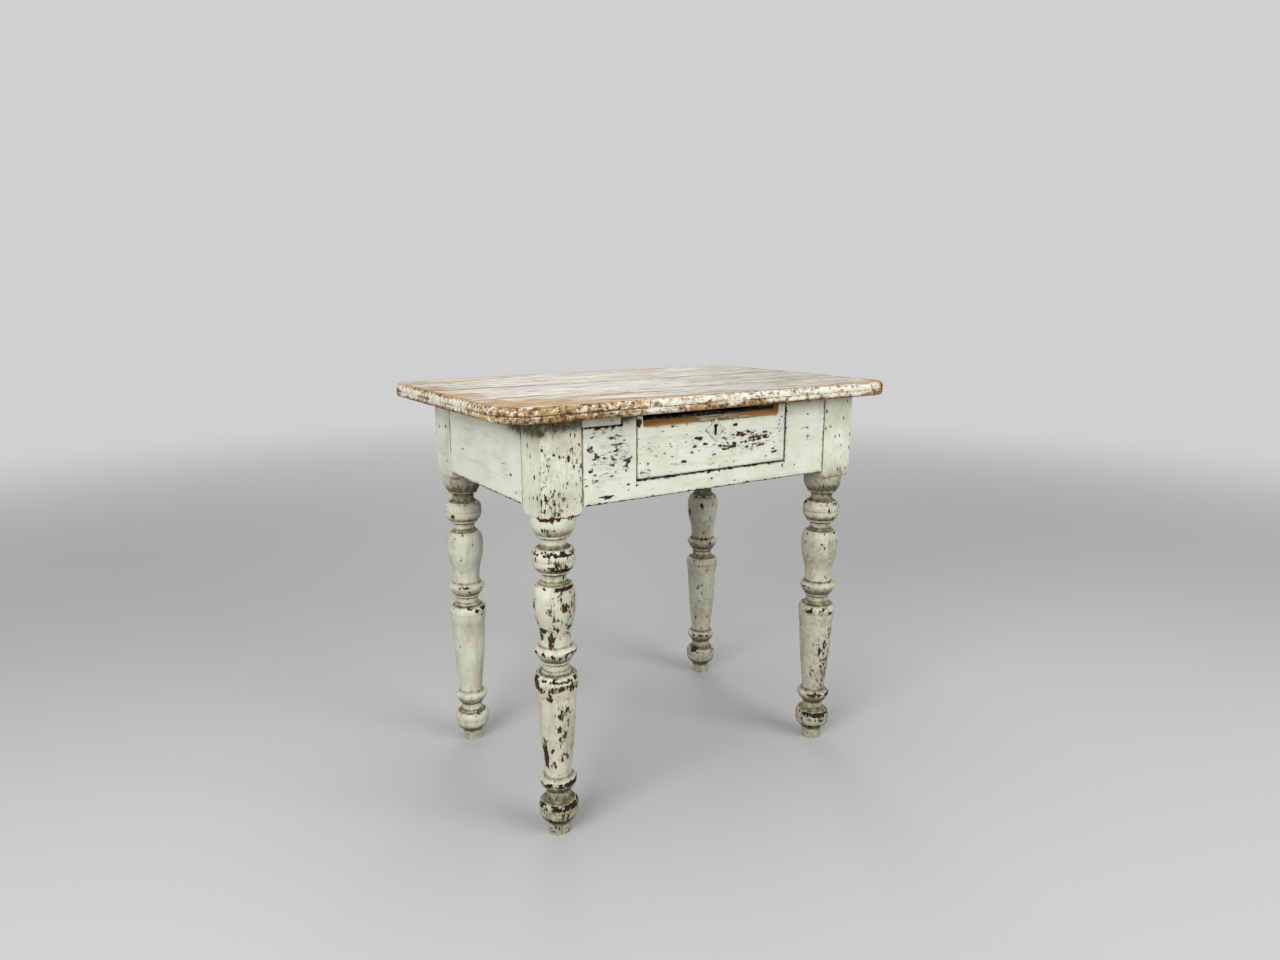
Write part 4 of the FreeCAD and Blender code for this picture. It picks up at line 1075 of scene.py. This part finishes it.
def buildDrawerFront(face):
    low, high = nodeBox(face["node"])
    spots = faceSpots(face["spots"], -frameReach.y) + [face["cornerSpot"]]
    left, right, key = face["scoopLeft"], face["scoopRight"], face["keyHalf"]
    breaks = [low.x, left, -key, key, right, high.x]
    for step in face["cornerSteps"]:
        breaks += [left + step, right - step]
    frontTop = high.z - face["frontDepth"]
    tall, depth = frontTop - low.z, high.y - low.y
    rows = spread([low.z, face["keyLow"], face["keyHigh"], frontTop], face["cell"])
    bm, wear, edge, grimeAndShade, bare = startMesh()
    gridSheet(bm, spread(sorted(breaks), face["cell"]), [(z - low.z) / tall for z in rows])
    hole = []
    for f in bm.faces:
        c = f.calc_center_median()
        if abs(c.x) < key and face["keyLow"] < low.z + c.z * tall < face["keyHigh"]:
            hole.append(f)
    bmesh.ops.delete(bm, geom=hole, context="FACES")
    thicken(bm, bm.faces[:], (0, depth, 0))
    inwards = [e for e in bm.edges if abs(e.verts[0].co.y - e.verts[1].co.y) > 1]
    bmesh.ops.subdivide_edges(bm, edges=inwards, cuts=face["layers"])
    for v in bm.verts:
        share = v.co.z
        deep = v.co.y / depth
        floor = face["frontDepth"] + (face["backDepth"] - face["frontDepth"]) * deep
        top = scoopTop(v.co.x, floor, face, high.z)
        v.co.z = low.z + share * (top - low.z)
        v.co.y += low.y
        onScoop = share > 0.999 and left < v.co.x < right
        middle = ease((face["scrapsHalf"] - abs(v.co.x - face["scrapsAt"])) / 30)
        v[bare] = (1.0 - 0.5 * middle) if onScoop else float(deep > 0.2)
    for e in sharpEdges(bm, 45):
        for v in e.verts:
            v[edge] = 1.0
    spreadEdge(bm, edge, 2)
    for v in bm.verts:
        v[wear] = face["wear"] + spotWear(v.co, spots)
        # the edges darken with dirt and with painted shade in the gaps round the drawer
        v[grimeAndShade] = max(face["grimeAndShade"], 0.95 * ease((v[edge] - 0.35) / 0.6))
        inKey = abs(v.co.x) < key + 0.1 and face["keyLow"] - 0.5 < v.co.z < face["keyHigh"] + 0.5
        inScoop = left < v.co.x < right and v.co.z > frontTop + 4
        if inKey and v.co.y > low.y + 1:
            v[wear] = 3.0  # painted shade: black inside the keyhole
            v[bare] = 0.0
        if inScoop and v.co.y > low.y + 0.6 * depth:
            v[wear] = 1.0  # painted shadow and old dirt darken the back of the scoop
            v[grimeAndShade] = 1.0
            v[bare] = 0.0
        loss = max(0, grainNoise(v.co, 7, face["seed"]) - 0.05) * v[edge] * face["nibble"]
        loss += face["leftLoss"] * v[edge] * ease((low.x + 6 - v.co.x) / 4)  # the left edge is worn most
        loss += face["arrisLoss"] * (v[edge] > 0.9)
        v.co += v.normal * (0.15 * (grainNoise(v.co, 40, face["seed"]) - 1) - loss)
        if abs(v.co.x) > high.x - 3 and v.co.y > high.y - face["tailDepth"] - 0.5:
            v.co.x = math.copysign(min(abs(v.co.x), high.x - face["tailSink"]), v.co.x)
        v[edge] *= face["edge"]
    endMesh(bm, face, paints["drawerPaint"], "drawer", 60)


buildDrawerFront(drawerFace)


# keyhole plate: a kite with hollow sides round the keyhole

keyPlate = {"node": "escutcheon", "name": "keyholePlate", "steps": 16, "hollow": 0.12, "keyRadius": 3.6,
            "keySlot": 2.6, "keyLow": 692.3, "keyMiddle": 708.3, "slotTop": 4.0, "thickness": 1.2,
            "round": 0.35, "wobble": 0.2, "seed": 2.9, "wear": 0.25, "edge": 0.7}


def keyholeOutline(plate, count):
    # round head over a straight slot, counted from the right
    points = []
    for k in range(count):
        a = 2 * math.pi * k / count
        x, z = math.cos(a), math.sin(a)
        if z > -0.55:
            points.append(Vector((x * plate["keyRadius"], 0, plate["keyMiddle"] + z * plate["keyRadius"])))
            continue
        side = math.copysign(plate["keySlot"], x) if abs(x) > 0.05 else 0
        z = plate["keyLow"] if abs(x) < 0.75 else plate["keyMiddle"] - plate["slotTop"]
        points.append(Vector((side, 0, z)))
    return points


def kiteOutline(plate, low, high):
    middle = Vector((0, 0, (low.z + high.z) / 2))
    corners = ((high.x, middle.z), (0, high.z), (low.x, middle.z), (0, low.z))
    tips = [Vector((x, 0, z)) for x, z in corners]
    points = []
    for start, end in zip(tips, tips[1:] + tips[:1]):
        for k in range(plate["steps"]):
            t = k / plate["steps"]
            points.append(start.lerp(end, t).lerp(middle, plate["hollow"] * 2 * t * (1 - t)))
    return points


def buildKeyPlate(plate):
    low, high = nodeBox(plate["node"])
    outer = kiteOutline(plate, low, high)
    bm, wear, edge, grimeAndShade, _ = startMesh()
    loops = []
    for points in (outer, keyholeOutline(plate, len(outer))):
        made = bmesh.ops.create_circle(bm, cap_ends=False, segments=len(points), radius=1)["verts"]
        for v, p in zip(made, points):
            v.co = p
        loops += list({e for v in made for e in v.link_edges})
    bmesh.ops.bridge_loops(bm, edges=loops)
    bmesh.ops.subdivide_edges(bm, edges=[e for e in bm.edges if len(e.link_faces) == 2], cuts=3)
    thicken(bm, bm.faces[:], (0, plate["thickness"], 0))
    bmesh.ops.translate(bm, verts=bm.verts, vec=(0, low.y, 0))
    for e in sharpEdges(bm):
        for v in e.verts:
            v[edge] = 1.0
    spreadEdge(bm, edge, 1)
    for v in bm.verts:
        if v.co.y < low.y + 0.1:
            v.co.y += plate["round"] * v[edge] + plate["wobble"] * grainNoise(v.co, 9, plate["seed"])
        v[edge] *= plate["edge"]
        v[wear] = plate["wear"]
        v[grimeAndShade] = 0.05 + 0.45 * ease((v[edge] - 0.3) / 0.4)
    endMesh(bm, plate, paints["platePaint"], "drawer")


buildKeyPlate(keyPlate)


# CAD pieces that stay, in better materials

keptNodes = [
    (barePine("barePineAlongX", "x"), [
        "glue_blocks", "drawer_back", "drawer_bottom_front", "drawer_bottom_middle", "drawer_bottom_rear"]),
    (barePine("barePineAlongY", "y"), [
        "drawer_runner_left", "drawer_runner_right", "drawer_guide_left", "drawer_guide_right",
        "kicker_left", "kicker_right", "drawer_side_left", "drawer_side_right"]),
    (oldIron(), [
        "kicker_screws", "bottom_nails", "lock_plate", "lock_case", "lock_bolt", "lock_post",
        "lock_screws"]),
]
for material, names in keptNodes:
    for name in names:
        nodes[name].data.materials.clear()
        nodes[name].data.materials.append(material)
print("kept nodes dressed")


# plain pale floor that fades into the background, soft lights and the photograph's view

stageLook = {"floor": (0.47, 0.47, 0.468, 1), "floorBounce": (0.26, 0.26, 0.26, 1), "reach": 8.0,
             "background": (0.63, 0.63, 0.635, 1), "horizon": 0.10, "zenith": 0.50,
             "fadeFrom": 1.6, "fadeTo": 5.5}


def buildFloor(look):
    bm = bmesh.new()
    bmesh.ops.create_circle(bm, cap_ends=True, segments=64, radius=look["reach"])
    floor = addObject("floor", toMesh(bm, "floor"))
    material = bpy.data.materials.new("paleFloor")
    tree = clearTree(material)
    coords = put(tree, "ShaderNodeTexCoord").outputs["Object"]
    far = put(tree, "ShaderNodeVectorMath", {0: coords}, operation="LENGTH").outputs["Value"]
    seen = put(tree, "ShaderNodeLightPath").outputs["Is Camera Ray"]
    solid = put(tree, "ShaderNodeBsdfDiffuse", {"Color": cover(look["floorBounce"], look["floor"], seen)})
    clear = put(tree, "ShaderNodeBsdfTransparent")
    wires = {0: fade(far, look["fadeFrom"], look["fadeTo"]), 1: solid.outputs[0], 2: clear.outputs[0]}
    mixed = put(tree, "ShaderNodeMixShader", wires)
    put(tree, "ShaderNodeOutputMaterial", {"Surface": mixed.outputs[0]})
    floor.data.materials.append(material)


def buildWorld(look):
    world = bpy.data.worlds.new("studio")
    bpy.context.scene.world = world
    tree = clearTree(world)
    path = put(tree, "ShaderNodeLightPath").outputs
    seen = calc("MAXIMUM", path["Is Camera Ray"], path["Is Glossy Ray"])
    seen = calc("MAXIMUM", seen, path["Is Transmission Ray"])
    shown = put(tree, "ShaderNodeBackground", {"Color": look["background"], "Strength": 1.0})
    way = put(tree, "ShaderNodeTexCoord").outputs["Generated"]
    height = put(tree, "ShaderNodeSeparateXYZ", {0: way}).outputs[2]
    strength = add(look["horizon"], fade(height, -0.1, 1.0), look["zenith"] - look["horizon"])
    light = put(tree, "ShaderNodeBackground", {"Color": (1, 1, 1, 1), "Strength": strength})
    both = put(tree, "ShaderNodeMixShader", {0: seen, 1: light.outputs[0], 2: shown.outputs[0]})
    put(tree, "ShaderNodeOutputWorld", {"Surface": both.outputs[0]})


lampLook = [
    {"name": "leftSoftbox", "place": (-2.7, -1.4, 1.75), "aim": (0, 0, 0.45), "size": 1.9, "power": 93},
    {"name": "frontSoftbox", "place": (1.3, -3.0, 1.85), "aim": (0, 0, 0.45), "size": 2.1, "power": 80},
    {"name": "topSoftbox", "place": (0.1, 0.3, 3.1), "aim": (0, 0, 0.6), "size": 1.8, "power": 18},
    {"name": "backSoftbox", "place": (1.6, 3.2, 2.2), "aim": (0, 0, 0.4), "size": 1.6, "power": 26},
]


def buildLamp(lamp):
    light = bpy.data.lights.new(lamp["name"], "AREA")
    light.size = lamp["size"]
    light.energy = lamp["power"]
    holder = addObject(lamp["name"], light)
    holder.location = lamp["place"]
    aim = Vector(lamp["aim"]) - Vector(lamp["place"])
    holder.rotation_euler = aim.to_track_quat("-Z", "Y").to_euler()
    holder.visible_camera = False


photoView = {"place": (-0.9299, -1.4015, 0.9215), "pitch": -11.85, "yaw": 33.38,
             "lens": 23.66, "sensor": 36}


def buildCamera(view):
    camera = bpy.data.cameras.new("photoCamera")
    camera.lens = view["lens"]
    camera.sensor_width = view["sensor"]
    camera.sensor_fit = "HORIZONTAL"
    holder = addObject("photoCamera", camera)
    holder.location = view["place"]
    holder.rotation_euler = (math.radians(90 + view["pitch"]), 0, math.radians(-view["yaw"]))
    bpy.context.scene.camera = holder


buildFloor(stageLook)
buildWorld(stageLook)
for lamp in lampLook:
    buildLamp(lamp)
buildCamera(photoView)
bpy.context.scene.view_settings.view_transform = "Standard"
print("stage, lamps and camera ready")
